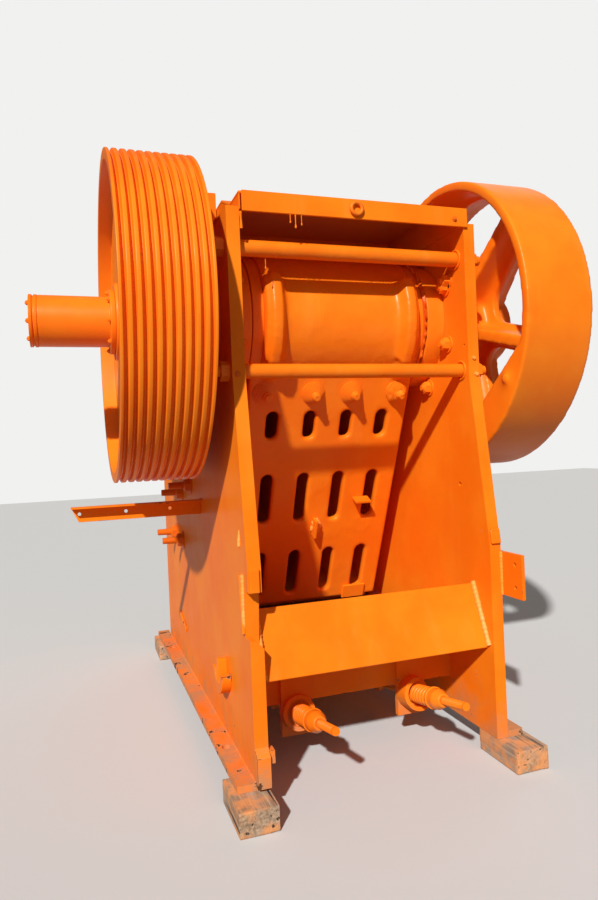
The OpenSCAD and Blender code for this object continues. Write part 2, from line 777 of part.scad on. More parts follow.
module pitman()
    color(orange) in_pitman() difference() {
        union() {
            translate([-pit_half, 0, 0]) rotate([90, 0, 90]) linear_extrude(2 * pit_half) pitman_side();
            barrel_disc(barrel_r, -barrel_half, barrel_half);
            for (s = [-1, 1]) barrel_ear(s);
        }
        for (s = [-1, 1]) on_side(s) barrel_disc(cover_r + fit, barrel_half, pit_half + 1);
        barrel_disc(ecc_r + fit, -barrel_half - 1, barrel_half + 1);
        for (j = [0:2], i = [-1.5:1:1.5]) pitman_cell(i, j);
        barrel_disc_at(toggle_foot, toggle_hole_r);
        block([-pit_half - 1, -back_off - 1, toggle_foot[1] - toggle_hole_r - 6],
            [pit_half + 1, toggle_foot[0], toggle_foot[1] + toggle_hole_r + 6]);
    }

module barrel_disc_at(p, r) translate([0, p[0], p[1]]) barrel_disc(r, -pit_half - 1, pit_half + 1);

module pitman_covers()
    color(orange) in_pitman() for (s = [-1, 1]) on_side(s) difference() {
        barrel_disc(cover_r, barrel_half, cover_face_x);
        barrel_disc(ecc_r + fit, barrel_half - 1, cover_face_x + 1);
    }

module swing_jaw()
    color(steel) in_pitman() translate([0, seat_top[0], seat_top[1]]) rotate([-seat_tilt, 0, 0])
        translate([0, fit, -die_len]) linear_extrude(die_len) die_plan(die_half);

module swing_jaw_wedge()
    color(steel) in_pitman() translate([-die_half, seat_top[0] - wedge[0], seat_top[1] + fit])
        cube([2 * die_half, wedge[1], wedge[2]]);

module jaw_bolts()
    color(orange) in_pitman() for (x = bolt_x) translate([x, -back_off, bolt_w]) rotate([90, 0, 0])
        for (d = bolt_stack) cylinder(r = d[0], h = d[1]);

module pitman_tabs()
    color(orange) in_pitman() for (t = tabs)
        translate([t[0], -back_off - t[4], t[1]]) cube([t[2], t[4], t[3]]);

left_side_plate();
right_side_plate();
left_base_flange();
right_base_flange();
left_foot_clip();
timber_blocks();
front_wall();
front_ribs();
front_stiffeners();
fixed_jaw();
left_cheek_plate();
right_cheek_plate();
hood();
left_hood_wall();
right_hood_wall();
upper_tie_bar();
lower_tie_bar();
toggle_cover();
toggle_beam();
toggle_seat();
toggle_plate();
left_rod_bracket();
right_rod_bracket();
tension_rods();
rod_springs();
rod_washers();
left_bearing_housing();
right_bearing_housing();
guard_bracket();
right_bracket_plate();
left_lifting_lug();
left_side_bars();
left_edge_pad();
right_edge_pad();
eccentric_shaft();
drive_pulley();
flywheel();
shaft_sleeve();
sleeve_cap();
pitman();
pitman_covers();
swing_jaw();
swing_jaw_wedge();
jaw_bolts();
pitman_tabs();
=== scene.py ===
# %% [markdown]
# # A jaw crusher in orange enamel
# The machine crushes rock between a fixed jaw and a swinging one. A heavy shaft with a small throw moves
# the swinging casting, and a belt pulley and a flywheel keep that shaft turning. Every piece already has
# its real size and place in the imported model. This lesson gives each of them the surface it has in real
# life: rounded edges on cut plate, soft fillets on castings, turned grooves, welds, bolts and worn paint.

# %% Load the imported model
import json
import math

import bmesh
import bpy
import numpy as np
from mathutils import Matrix, Vector
from mathutils.noise import noise as wobble


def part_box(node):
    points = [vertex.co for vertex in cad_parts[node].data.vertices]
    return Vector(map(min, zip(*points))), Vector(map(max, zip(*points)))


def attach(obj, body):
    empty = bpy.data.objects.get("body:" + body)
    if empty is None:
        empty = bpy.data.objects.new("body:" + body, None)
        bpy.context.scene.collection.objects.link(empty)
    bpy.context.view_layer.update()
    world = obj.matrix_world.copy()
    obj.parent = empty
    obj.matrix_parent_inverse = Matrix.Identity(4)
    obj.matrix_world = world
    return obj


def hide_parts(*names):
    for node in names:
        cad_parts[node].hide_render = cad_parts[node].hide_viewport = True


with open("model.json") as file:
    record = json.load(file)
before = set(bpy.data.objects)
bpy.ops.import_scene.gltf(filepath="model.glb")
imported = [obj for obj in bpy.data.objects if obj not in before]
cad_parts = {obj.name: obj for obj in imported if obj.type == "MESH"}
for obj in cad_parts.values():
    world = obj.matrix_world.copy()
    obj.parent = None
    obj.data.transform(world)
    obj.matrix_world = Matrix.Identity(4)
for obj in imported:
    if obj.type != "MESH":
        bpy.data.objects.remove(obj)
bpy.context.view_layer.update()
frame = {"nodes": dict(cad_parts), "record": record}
nodes = frame["nodes"]
joints = frame["record"]["behaviour"]["joints"]
shaft = Vector(joints[0]["pos_m"])
eccentric = Vector(joints[1]["pos_m"])
print("nodes", len(nodes), "shaft at", [round(v, 3) for v in shaft])

# %% [markdown]
# Many places are measured from the side plates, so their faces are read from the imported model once.
# A plate's box gives its inner and outer face, its rear edge and its top.

# %% Read the main faces
plate_low, plate_high = [Vector(v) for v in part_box("right_side_plate")]
side_in, side_out = plate_low.x, plate_high.x
base_rear, base_front, frame_top = plate_low.y, plate_high.y, plate_high.z
lip_t = 0.012
top_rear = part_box("hood")[0][1] + lip_t
floor_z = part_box("timber_blocks")[0][2]
print("side plates from", round(side_in, 4), "to", round(side_out, 4), "top", round(frame_top, 3))

# %% [markdown]
# The camera stands where the photographer stood: low, to the left of the belt pulley, and turned a
# little to the right. The lens is a wide one. Its focal length is worked out from the picture's height
# in pixels, so the sensor's height is set as the 36 mm side.

# %% Place the camera
def linked(name, data):
    """A new object in the scene that shows the given data."""
    made = bpy.data.objects.new(name, data)
    bpy.context.scene.collection.objects.link(made)
    return made


shift = Matrix.Translation
focal_px, picture_h = 673.43, 900
camera_at = Vector((-1.2798, -3.9105, 1.4083))
yaw, pitch, roll = (math.radians(a) for a in (18.834, 0.392, 2.388))
ahead = Vector((math.sin(yaw) * math.cos(pitch), math.cos(yaw) * math.cos(pitch), -math.sin(pitch)))
level = Vector((math.cos(yaw), -math.sin(yaw), 0))
down = ahead.cross(level)
right = math.cos(roll) * level + math.sin(roll) * down
up = math.sin(roll) * level - math.cos(roll) * down
lens = bpy.data.cameras.new("camera")
lens.sensor_fit, lens.sensor_height = "VERTICAL", 36
lens.lens = focal_px / picture_h * lens.sensor_height
camera = linked("camera", lens)
camera.matrix_world = shift(camera_at) @ Matrix((right, up, -ahead)).transposed().to_4x4()
bpy.context.scene.camera = camera
print("lens", round(lens.lens, 2), "mm")

# %% [markdown]
# The stage, its light and the materials are trees of many small nodes, so a few helpers keep the wiring
# short. `put` adds a node and `fill` fills its sockets: a socket given as a value is linked, and a number
# or colour is typed in. A key such as i0 means the input with that number.

# %% Helpers for node trees
def fill(node, **inputs):
    for key, value in inputs.items():
        numbered = key[0] == "i" and key[1:].isdigit()
        socket = node.inputs[int(key[1:]) if numbered else key.replace("_", " ")]
        if isinstance(value, bpy.types.NodeSocket):
            node.id_data.links.new(value, socket)
        else:
            socket.default_value = value


def put(tree, kind, props=(), **inputs):
    node = tree.nodes.new(kind)
    for key, value in dict(props).items():
        setattr(node, key, value)
    fill(node, **inputs)
    return node


def sums(tree, operation, a, b=0.0, c=0.0):
    return put(tree, "ShaderNodeMath", {"operation": operation}, i0=a, i1=b, i2=c).outputs[0]


def times(socket, value):
    return sums(socket.id_data, "MULTIPLY", socket, value)


def plus(socket, value):
    return sums(socket.id_data, "ADD", socket, value)


def mixed(tree, factor, a, b):
    """Colour a where the factor is 0 and b where it is 1; a colour is a socket or three numbers."""
    a, b = ((*c, 1) if isinstance(c, tuple) else c for c in (a, b))
    return put(tree, "ShaderNodeMix", {"data_type": "RGBA"}, i0=factor, i6=a, i7=b).outputs[2]


def new_material(name):
    material = bpy.data.materials.new(name)
    material.use_nodes = True
    tree = material.node_tree
    return material, tree, tree.nodes["Principled BSDF"]


# %% [markdown]
# The object stands on a plain pale floor. One key lamp shines from the upper left behind the camera, as
# the shadows in the photograph say, with an angle that softens them. A pale world and a weak wide lamp
# near the camera fill the shade, and one more from the far side shows the faces that the key misses.
# The floor looks pale to the camera and in reflections, but sends back only as much light as bare
# ground does, so the undersides stay as dark as they are outdoors.

# %% Set the stage
bpy.context.scene.view_settings.view_transform = "Standard"
floor_size = 40
pale, ground = (0.66, 0.65, 0.63), (0.26, 0.235, 0.21)
pale_floor, tree, shader = new_material("pale_floor")
rays = put(tree, "ShaderNodeLightPath").outputs
seen = sums(tree, "MAXIMUM", rays["Is Camera Ray"], rays["Is Glossy Ray"])
fill(shader, Base_Color=mixed(tree, seen, ground, pale), Roughness=0.9)
floor_mesh = bpy.data.meshes.new("floor")
s = floor_size / 2
corners = [(-s, -s, floor_z), (s, -s, floor_z), (s, s, floor_z), (-s, s, floor_z)]
floor_mesh.from_pydata(corners, [], [(0, 1, 2, 3)])
floor_mesh.materials.append(pale_floor)
floor = linked("floor", floor_mesh)


# %% Set the light
def sun(name, towards, power, angle):
    lamp = bpy.data.lights.new(name, "SUN")
    lamp.energy, lamp.angle = power, math.radians(angle)
    linked(name, lamp).rotation_euler = Vector(towards).to_track_quat("-Z", "Y").to_euler()


key_way, far_way, near_way = (0.462, 0.676, -0.574), (-0.55, -0.62, -0.45), (0.15, 0.95, -0.3)
sun("key_lamp", key_way, power=4.2, angle=1.8)
sun("far_lamp", far_way, power=0.3, angle=40)
sun("near_lamp", near_way, power=0.12, angle=60)
world = bpy.data.worlds.new("pale_room")
bpy.context.scene.world = world
world.use_nodes = True
room = world.node_tree
fill(room.nodes["Background"], Color=(1, 0.96, 0.92, 1), Strength=0.15)
backdrop = put(room, "ShaderNodeBackground", Color=(0.88, 0.88, 0.87, 1)).outputs[0]
rays = put(room, "ShaderNodeLightPath").outputs
light = room.nodes["Background"].outputs[0]
blend = put(room, "ShaderNodeMixShader", i0=rays["Is Camera Ray"], i1=light, i2=backdrop).outputs[0]
fill(room.nodes["World Output"], Surface=blend)
print("lamps", [lamp.name for lamp in bpy.data.lights])


def noise(tree, vector, scale, detail=3.0, rough=0.5, stretch=(1, 1, 1)):
    moved = put(tree, "ShaderNodeMapping", i0=vector, Scale=stretch).outputs[0]
    return put(tree, "ShaderNodeTexNoise", i0=moved, Scale=scale, Detail=detail, Roughness=rough).outputs[0]


def effect(name, inputs, outputs):
    """A node group with float inputs and outputs, and one vector input for the place on the piece."""
    tree = bpy.data.node_groups.new(name, "ShaderNodeTree")
    tree.interface.new_socket("Place", in_out="INPUT", socket_type="NodeSocketVector")
    for label, value in inputs.items():
        tree.interface.new_socket(label, in_out="INPUT", socket_type="NodeSocketFloat").default_value = value
    for label in outputs:
        tree.interface.new_socket(label, in_out="OUTPUT", socket_type="NodeSocketFloat")
    return tree, tree.nodes.new("NodeGroupInput").outputs, tree.nodes.new("NodeGroupOutput").inputs


def use(tree, group, place, **inputs):
    node = put(tree, "ShaderNodeGroup", {"node_tree": group})
    tree.links.new(place, node.inputs["Place"])
    for key, value in inputs.items():
        node.inputs[key.replace("_", " ")].default_value = value
    return node.outputs


# %% [markdown]
# Thick enamel on old iron shows five things again and again. The tone drifts from patch to patch. Runs
# follow the drop line. Chips open along edges and low down, where stones hit. Dust settles near the
# ground. And the skin is never flat: plate has orange peel, and a casting is lumpy and finely wrinkled
# where the coat sagged. Each is a node group, so every paint uses the same ones with its own amounts.

# %% Helpers for effects
def step_up(tree, value, low, high):
    """0 below low, 1 above high, with a smooth step between."""
    smoothly = {"interpolation_type": "SMOOTHSTEP"}
    return put(tree, "ShaderNodeMapRange", smoothly, i0=value, i1=low, i2=high).outputs[0]


def noise(tree, vector, scale, detail=3.0, rough=0.5, stretch=(1, 1, 1)):
    moved = put(tree, "ShaderNodeMapping", i0=vector, Scale=stretch).outputs[0]
    return put(tree, "ShaderNodeTexNoise", i0=moved, Scale=scale, Detail=detail, Roughness=rough).outputs[0]


def add_sockets(tree, way, kind, values):
    for label, value in dict(values).items():
        socket = tree.interface.new_socket(label, in_out=way, socket_type="NodeSocket" + kind)
        if value is not None:
            socket.default_value = value


def effect(name, inputs, outputs):
    """A node group with float inputs and outputs, and one vector input for the place on the piece."""
    tree = bpy.data.node_groups.new(name, "ShaderNodeTree")
    add_sockets(tree, "INPUT", "Vector", {"Place": None})
    add_sockets(tree, "INPUT", "Float", inputs)
    add_sockets(tree, "OUTPUT", "Float", dict.fromkeys(outputs))
    return tree, tree.nodes.new("NodeGroupInput").outputs, tree.nodes.new("NodeGroupOutput")


def use(tree, group, place, **inputs):
    return put(tree, "ShaderNodeGroup", {"node_tree": group}, Place=place, **inputs).outputs


# %% Effect: tone drift and runs
drift, g_in, g_out = effect("tone_drift", {"Patch size": 1.4}, ["Tone", "Runs"])
patches = noise(drift, g_in["Place"], g_in["Patch size"], 4.0, 0.62)
streaks = noise(drift, g_in["Place"], 9.0, 5.0, 0.6, (1, 1, 0.06))
fill(g_out, Tone=step_up(drift, patches, 0.34, 0.68), Runs=step_up(drift, streaks, 0.52, 0.78))

# %% Effect: chips
field_share, edge_share, low_share, amount_share = 0.34, 0.13, 0.06, 0.2
levels = {"Amount": 0.3, "Low edge": 0.0, "High edge": 0.6}
chipping, g_in, g_out = effect("paint_chips", levels, ["Chip", "Rim"])
spots = noise(chipping, g_in["Place"], 12.0, 8.0, 0.64)
fields = noise(chipping, g_in["Place"], 1.9, 3.0, 0.5)
edge = put(chipping, "ShaderNodeAttribute", {"attribute_name": "edge"}).outputs["Fac"]
height = put(chipping, "ShaderNodeSeparateXYZ", i0=g_in["Place"]).outputs["Z"]
low = put(chipping, "ShaderNodeMapRange", i0=height, i1=g_in["High edge"], i2=g_in["Low edge"]).outputs[0]
likely = sums(chipping, "MULTIPLY_ADD", fields, field_share, -field_share / 2)
for value, share in ((edge, edge_share), (low, low_share), (g_in["Amount"], amount_share)):
    likely = plus(likely, times(value, share))
open_here = plus(spots, likely)
fill(g_out, Chip=step_up(chipping, open_here, 0.748, 0.762), Rim=step_up(chipping, open_here, 0.722, 0.748))

# %% Effect: dust near the ground
dusting, g_in, g_out = effect("ground_dust", {"Ground": floor_z, "Reach": 0.7}, ["Dust"])
height = put(dusting, "ShaderNodeSeparateXYZ", i0=g_in["Place"]).outputs["Z"]
reach = sums(dusting, "DIVIDE", sums(dusting, "SUBTRACT", height, g_in["Ground"]), g_in["Reach"])
cloud = times(noise(dusting, g_in["Place"], 7.0, 5.0, 0.6), 1.5)
fill(g_out, Dust=step_up(dusting, sums(dusting, "SUBTRACT", cloud, reach), 0.1, 0.9))

# %% Effect: skins of plate and casting
skins, g_in, g_out = effect("metal_skin", {"Peel": 0.3, "Lumps": 0.0, "Wrinkles": 0.0}, ["Height"])
peel = noise(skins, g_in["Place"], 130.0, 2.0, 0.4)
lumps = noise(skins, g_in["Place"], 17.0, 4.0, 0.55)
waves, wave_share = noise(skins, g_in["Place"], 3.0, 1.0, 0.4), 0.8
fold_fields = step_up(skins, noise(skins, g_in["Place"], 7.0, 2.0, 0.5), 0.5, 0.66)
folds = times(noise(skins, g_in["Place"], 64.0, 3.0, 0.55, (1, 1, 0.09)), fold_fields)
raised = times(peel, g_in["Peel"])
for value, share in ((lumps, g_in["Lumps"]), (folds, g_in["Wrinkles"]), (waves, wave_share)):
    raised = plus(raised, times(value, share))
fill(g_out, Height=raised)
print("effects", [group.name for group in bpy.data.node_groups])

# %% [markdown]
# The enamel itself is one recipe for every orange piece. Its colour is mixed from two near tones, the
# runs are a little paler, chips show rust with a pale primer rim, and dust covers what lies low. A thin
# clear coat gives the wet shine of fresh paint, and it is missing where the paint is. Weld beads are a
# paler, yellower mix.

# %% Orange enamel
paler, brown_dust, primer = (0.95, 0.33, 0.05), (0.34, 0.24, 0.15), (0.55, 0.33, 0.20)
rust_dark, rust_light = (0.035, 0.018, 0.012), (0.17, 0.06, 0.022)
coat_share, bump_d = 0.06, 0.004


def bumped(tree, strength, relief):
    return put(tree, "ShaderNodeBump", Strength=strength, Distance=bump_d, Height=relief).outputs[0]


def enamel(name, tone, deep, peel=0.3, lumps=0.0, chips=0.3, rough=0.42, dust=0.6, gloss=0.3, wrinkles=0.0):
    material, tree, shader = new_material(name)
    place = put(tree, "ShaderNodeTexCoord").outputs["Object"]
    tones = use(tree, drift, place, Patch_size=1.7)
    chip = use(tree, chipping, place, Amount=chips)
    settled = times(use(tree, dusting, place, Reach=0.5)["Dust"], dust)
    rust = mixed(tree, noise(tree, place, 60.0, 4.0), rust_dark, rust_light)
    colour = mixed(tree, tones["Tone"], deep, tone)
    layers = ((tones["Runs"], 0.22, paler), (settled, 1, brown_dust), (chip["Rim"], 0.7, primer),
        (chip["Chip"], 1, rust))
    for factor, share, cover in layers:
        colour = mixed(tree, times(factor, share), colour, cover)
    dull = sums(tree, "MAXIMUM", chip["Chip"], settled)
    shine = times(noise(tree, place, 11.0, 4.0), 0.16)
    matt = plus(times(dull, 0.42), plus(shine, rough - 0.08))
    coat = sums(tree, "SUBTRACT", coat_share, times(dull, coat_share))
    skin = use(tree, skins, place, Peel=peel, Lumps=lumps, Wrinkles=wrinkles)["Height"]
    relief = sums(tree, "SUBTRACT", skin, times(chip["Chip"], 0.35))
    fill(shader, Base_Color=colour, Roughness=matt, Coat_Weight=coat, Coat_Roughness=0.2,
        Specular_IOR_Level=gloss, Specular_Tint=(1, 0.72, 0.5, 1), Normal=bumped(tree, 0.35, relief))
    return material


bright, deep = (0.97, 0.238, 0.009), (0.93, 0.178, 0.005)
# The bolt tones are darker and redder than the plates'. That is painted shade, and it darkens every piece in
# the bolt enamel.
weld_tones, bolt_tones_painted_shade = ((0.97, 0.40, 0.10), (0.97, 0.29, 0.03)), ((0.9, 0.19, 0.008), (0.66, 0.09, 0.006))
plate_paint = enamel("plate_enamel", bright, deep, peel=0.25, lumps=0.12, chips=0.02, rough=0.5, gloss=0.1)
clean_paint = enamel("clean_enamel", bright, deep, peel=0.25, lumps=0.12, chips=-0.6, rough=0.5, gloss=0.1)
weld_paint = enamel("weld_enamel", *weld_tones, peel=0.3, lumps=0.5, chips=-0.6)
casting_paint = enamel("casting_enamel", bright, deep, peel=0.35, lumps=1.0, chips=-0.25, rough=0.38,
    gloss=0.34, wrinkles=1.3)
wheel_paint = enamel("wheel_enamel", bright, deep, peel=0.2, lumps=0.25, chips=-0.5, rough=0.4, gloss=0.3)
foot_paint = enamel("foot_enamel", bright, deep, peel=0.3, lumps=0.5, chips=0.42, rough=0.5, dust=0.8)
bolt_paint_painted_shade = enamel("bolt_enamel_painted_shade", *bolt_tones_painted_shade, peel=0.5, lumps=0.5, chips=0.4)

# %% [markdown]
# The jaw dies are cast manganese steel. Rock keeps their ridges bright, and the rest rusts. The shaft is
# turned steel under a film of oil. Both are metals, so their colour also tints what they reflect.

# %% Bare steels
bright_scratch = (0.5, 0.48, 0.46)


def bare_steel(name, clean, rusty, rust_low, rust_high, rough, metal):
    material, tree, shader = new_material(name)
    place = put(tree, "ShaderNodeTexCoord").outputs["Object"]
    patch = step_up(tree, noise(tree, place, 8.0, 8.0, 0.65), rust_low, rust_high)
    scratch = step_up(tree, noise(tree, place, 60.0, 4.0, 0.5, (1, 1, 0.05)), 0.5, 0.75)
    colour = mixed(tree, times(scratch, 0.3), clean, bright_scratch)
    metallic = times(sums(tree, "SUBTRACT", 1.0, patch), metal)
    relief = plus(noise(tree, place, 26.0, 5.0, 0.6), times(scratch, 0.2))
    fill(shader, Base_Color=mixed(tree, patch, colour, rusty), Normal=bumped(tree, 0.5, relief),
        Roughness=sums(tree, "MULTIPLY_ADD", patch, 0.4, rough), Metallic=metallic)
    return material


die_steel = bare_steel("die_steel", (0.20, 0.18, 0.17), (0.15, 0.065, 0.03), 0.42, 0.62, 0.42, 0.8)
shaft_steel = bare_steel("oiled_steel", (0.33, 0.31, 0.29), (0.12, 0.06, 0.035), 0.62, 0.85, 0.25, 1.0)

# %% [markdown]
# The blocks under the frame are old sleepers. Their grain runs along their length, so the noise is
# stretched that way. Paint mist from the spraying lies on them in patches.

# %% Weathered timber
grain_dark, grain_pale, grey_board = (0.24, 0.14, 0.08), (0.56, 0.38, 0.23), (0.42, 0.35, 0.29)
paint_mist, crack_dark = (0.84, 0.32, 0.10), (0.035, 0.022, 0.015)


def weathered_timber(name):
    material, tree, shader = new_material(name)
    place = put(tree, "ShaderNodeTexCoord").outputs["Object"]
    grain = noise(tree, place, 70.0, 6.0, 0.65, (1, 0.05, 1))
    boards = step_up(tree, noise(tree, place, 9.0, 3.0, 0.5, (1, 0.12, 1)), 0.4, 0.7)
    cracks = step_up(tree, noise(tree, place, 42.0, 3.0, 0.5, (1, 0.03, 1)), 0.62, 0.72)
    mist = step_up(tree, noise(tree, place, 11.0, 6.0, 0.6), 0.38, 0.6)
    colour = mixed(tree, step_up(tree, grain, 0.35, 0.7), grain_dark, grain_pale)
    for factor, share, cover in ((boards, 0.5, grey_board), (mist, 0.8, paint_mist), (cracks, 1, crack_dark)):
        colour = mixed(tree, times(factor, share), colour, cover)
    relief = sums(tree, "SUBTRACT", grain, times(cracks, 1.3))
    fill(shader, Base_Color=colour, Roughness=0.86, Normal=bumped(tree, 0.8, relief))
    return material


timber = weathered_timber("weathered_timber")
print("materials", [m.name for m in bpy.data.materials if m.use_nodes])

# %% [markdown]
# Every piece made here is added the same way: its mesh goes into an object at the origin, it gets
# its paint, it rides on the body that carries it, and it may stand for a node of the imported model. A
# piece made of several meshes gives them as a list.

# %% Add a piece
body_of_node = {n: b for b, names in frame["record"]["behaviour"]["bodies"].items() for n in names}


def mesh_of(bm, name):
    """The mesh of a finished bmesh, which is freed."""
    mesh = bpy.data.meshes.new(name)
    bm.to_mesh(mesh)
    bm.free()
    return mesh


def bmesh_of(*meshes):
    bm = bmesh.new()
    for mesh in meshes:
        bm.from_mesh(mesh)
    return bm


def hand_in(name, mesh, material, body, replaced=()):
    if isinstance(mesh, list):
        mesh = mesh_of(bmesh_of(*mesh), name)
    mesh.materials.clear()
    mesh.materials.append(material)
    piece = linked(name, mesh)
    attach(piece, body)
    if replaced:
        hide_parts(*replaced)
    print("piece", name, "with", len(mesh.polygons), "faces")


def smooth(mesh, angle=35):
    mesh.shade_smooth()
    mesh.set_sharp_from_angle(angle=math.radians(angle))


def modified(mesh, kind, sockets=(), **settings):
    """A plain copy of a mesh with one modifier applied."""
    holder = linked("holder", mesh)
    modifier = holder.modifiers.new("change", kind)
    for key, value in settings.items():
        setattr(modifier, key, value)
    for key, value in dict(sockets).items():
        modifier[key] = value
    done = bpy.data.meshes.new_from_object(holder.evaluated_get(bpy.context.evaluated_depsgraph_get()))
    bpy.data.objects.remove(holder)
    return done


# %% [markdown]
# Cut plate and bar have edges that catch a thin line of light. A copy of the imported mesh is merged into
# one skin, its flat triangles are joined, and each sharp edge gets a small round. The faces of that round
# are marked in an attribute called edge, which the chips read.

# %% Round the edges of plates and bars
quarter_x, quarter_y = (Matrix.Rotation(math.pi / 2, 4, axis) for axis in "XY")


def merged(node):
    bm = bmesh_of(nodes[node].data)
    bmesh.ops.remove_doubles(bm, verts=bm.verts, dist=2e-5)
    bmesh.ops.dissolve_limit(bm, angle_limit=math.radians(0.6), verts=bm.verts, edges=bm.edges)
    return bm


def drilled(bm, holes):
    """The solid less a round hole at each place: centre, axis letter, radius and length."""
    body = mesh_of(bm, "body")
    cutters = bmesh.new()
    for centre, axis, radius, length in holes:
        turn = quarter_y if axis == "X" else quarter_x
        bmesh.ops.create_cone(cutters, cap_ends=True, segments=24, radius1=radius, radius2=radius,
            depth=length, matrix=shift(centre) @ turn)
    drill = linked("drill", mesh_of(cutters, "drill"))
    cut = modified(body, "BOOLEAN", operation="DIFFERENCE", solver="EXACT", object=drill)
    bpy.data.objects.remove(drill)
    return bmesh_of(cut)


def edged(node, material, width, segments, holes=()):
    bm = merged(node)
    if holes:
        bm = drilled(bm, holes)
    mark = bm.faces.layers.float.new("edge")
    sharp = [e for e in bm.edges if len(e.link_faces) == 2 and e.calc_face_angle(0) > math.radians(28)]
    made = bmesh.ops.bevel(bm, geom=sharp, offset=width, segments=segments, affect="EDGES", profile=0.5,
        clamp_overlap=True)
    for face in made["faces"]:
        face[mark] = 1.0
    mesh = mesh_of(bm, node)
    smooth(mesh, 50)
    done = modified(mesh, "WEIGHTED_NORMAL", keep_sharp=True)
    hand_in(node + "_edged", done, material, body_of_node[node], [node])


plates = ["left_side_plate", "right_side_plate", "front_wall", "front_ribs", "front_stiffeners",
    "left_hood_wall", "right_hood_wall", "toggle_beam", "left_rod_bracket", "right_rod_bracket",
    "guard_bracket", "right_bracket_plate", "left_side_bars", "pitman_tabs"]
pads = ["left_edge_pad", "right_edge_pad", "left_lifting_lug"]
feet = ["left_base_flange", "right_base_flange", "left_foot_clip"]
wearing = ["fixed_jaw", "swing_jaw", "swing_jaw_wedge", "left_cheek_plate", "right_cheek_plate",
    "toggle_seat"]
groups = [(plates, plate_paint, 0.003, 2), (["hood"], clean_paint, 0.004, 2),
    (["toggle_cover"], clean_paint, 0.005, 3), (pads, plate_paint, 0.004, 3), (feet, foot_paint, 0.004, 2),
    (wearing, die_steel, 0.005, 2), (["upper_tie_bar", "lower_tie_bar"], casting_paint, 0.002, 2)]
guard_face, guard_z, guard_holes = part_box("guard_bracket")[1][1], 1.099, (-1.243, -1.008, -0.777)
holes = {"right_side_plate": [((side_in, -1.081, 1.861), "X", 0.007, 0.3),
    ((side_in, -0.996, 1.183), "X", 0.011, 0.3)],
    "guard_bracket": [((x, guard_face, guard_z), "Y", 0.009, 0.04) for x in guard_holes]}
for names, material, width, segments in groups:
    for node in names:
        edged(node, material, width, segments, holes.get(node, ()))

# %% [markdown]
# A casting has no sharp inner corner: the sand would wash away. A copy is remeshed into small voxels,
# and then every point in a hollow is drawn out towards its neighbours, again and again, until the hollow
# has become a wide fillet. Points on outer edges move far less, so those stay crisp. The pitman leans,
# so it is stood upright first, because the voxels keep flat faces flattest along their own axes. The
# bend of the finished skin marks the outer edges for chips.

# %% Melt the corners of castings
def column(items, key, width=1, kind=np.int64):
    """One value of all points, edges, corners or faces as an array, a row for each."""
    values = np.empty(len(items) * width, dtype=kind)
    items.foreach_get(key, values)
    return values.reshape(-1, width)


def arrays(mesh):
    """The points of a quad mesh, its edges' ends and its faces, as arrays."""
    corners, starts = column(mesh.loops, "vertex_index")[:, 0], column(mesh.polygons, "loop_start")
    points, ends = column(mesh.vertices, "co", 3, float), column(mesh.edges, "vertices", 2)
    return points, ends, corners[starts + np.arange(4)]


def gathered(index, values, count):
    return np.stack([np.bincount(index, values[:, k], count) for k in range(3)], 1)


def bend_of(points, ends, quads):
    """How far the mean of its neighbours lies outside each point: below 0 on an outer edge."""
    a, b = ends.T
    count = len(points)
    near = np.bincount(a, minlength=count) + np.bincount(b, minlength=count)
    mean = (gathered(a, points[b], count) + gathered(b, points[a], count)) / near[:, None]
    face = np.cross(points[quads[:, 2]] - points[quads[:, 0]], points[quads[:, 3]] - points[quads[:, 1]])
    normal = sum(gathered(quads[:, k], face, count) for k in range(4))
    normal /= np.linalg.norm(normal, axis=1)[:, None] + 1e-12
    pull = mean - points
    return pull, (pull * normal).sum(1)


def melted(mesh, rounds, hollow, ridge, even=3):
    """Fills hollows in many rounds: a point in a hollow moves by hollow of its pull, a ridge by less."""
    points, ends, quads = arrays(mesh)
    for k in range(even + rounds):
        pull, bend = bend_of(points, ends, quads)
        share = 0.5 if k < even else np.where(bend > 0, hollow, ridge)[:, None]
        points = points + pull * share
    mesh.vertices.foreach_set("co", points.ravel())
    mesh.update()
    pull, bend = bend_of(points, ends, quads)
    return -bend / np.linalg.norm(points[ends[:, 0]] - points[ends[:, 1]], axis=1).mean()


most_triangles, edge_gain = 186000, 9


def cast(node, material, voxel, rounds, hollow, ridge, upright):
    bm = merged(node)
    bmesh.ops.transform(bm, matrix=upright.inverted(), verts=bm.verts)
    bmesh.ops.triangulate(bm, faces=bm.faces)
    mesh = modified(mesh_of(bm, "rough"), "REMESH", mode="VOXEL", voxel_size=voxel)
    stands_out = melted(mesh, rounds, hollow, ridge)
    mark = mesh.attributes.new("edge", "FLOAT", "POINT")
    mark.data.foreach_set("value", np.clip(stands_out * edge_gain, 0, 1).astype(np.float32))
    mesh = modified(mesh, "DECIMATE", ratio=min(1, most_triangles / (2 * len(mesh.polygons))))
    mesh.transform(upright)
    mesh.shade_smooth()
    hand_in(node + "_casting", mesh, material, body_of_node[node], [node])


back_lean = math.radians(25.2)
pitman_frame = shift(eccentric) @ Matrix.Rotation(back_lean, 4, "X")
cast("pitman", casting_paint, 0.0085, 14, 0.5, 0.04, pitman_frame)
cast("flywheel", wheel_paint, 0.008, 70, 0.6, 0.02, shift(shaft))

# %% [markdown]
# Wheels, housings, sleeves and nuts are turned on a lathe, so they are made that way: a half section is
# drawn as a closed line of points, its corners are softened, and it is spun round an axis. A section is
# [place along the axis, radius].

# %% Turn a section
def softened(section, radius, steps=3):
    """The closed section with each corner replaced by a short curve."""
    points = [Vector(p) for p in section]
    out = []
    for i, corner in enumerate(points):
        before, after = points[i - 1] - corner, points[(i + 1) % len(points)] - corner
        cut = min(radius, before.length * 0.45, after.length * 0.45)
        a, b = corner + before.normalized() * cut, corner + after.normalized() * cut
        for k in range(steps + 1):
            t = k / steps
            out.append((1 - t) ** 2 * a + 2 * t * (1 - t) * corner + t * t * b)
    return out


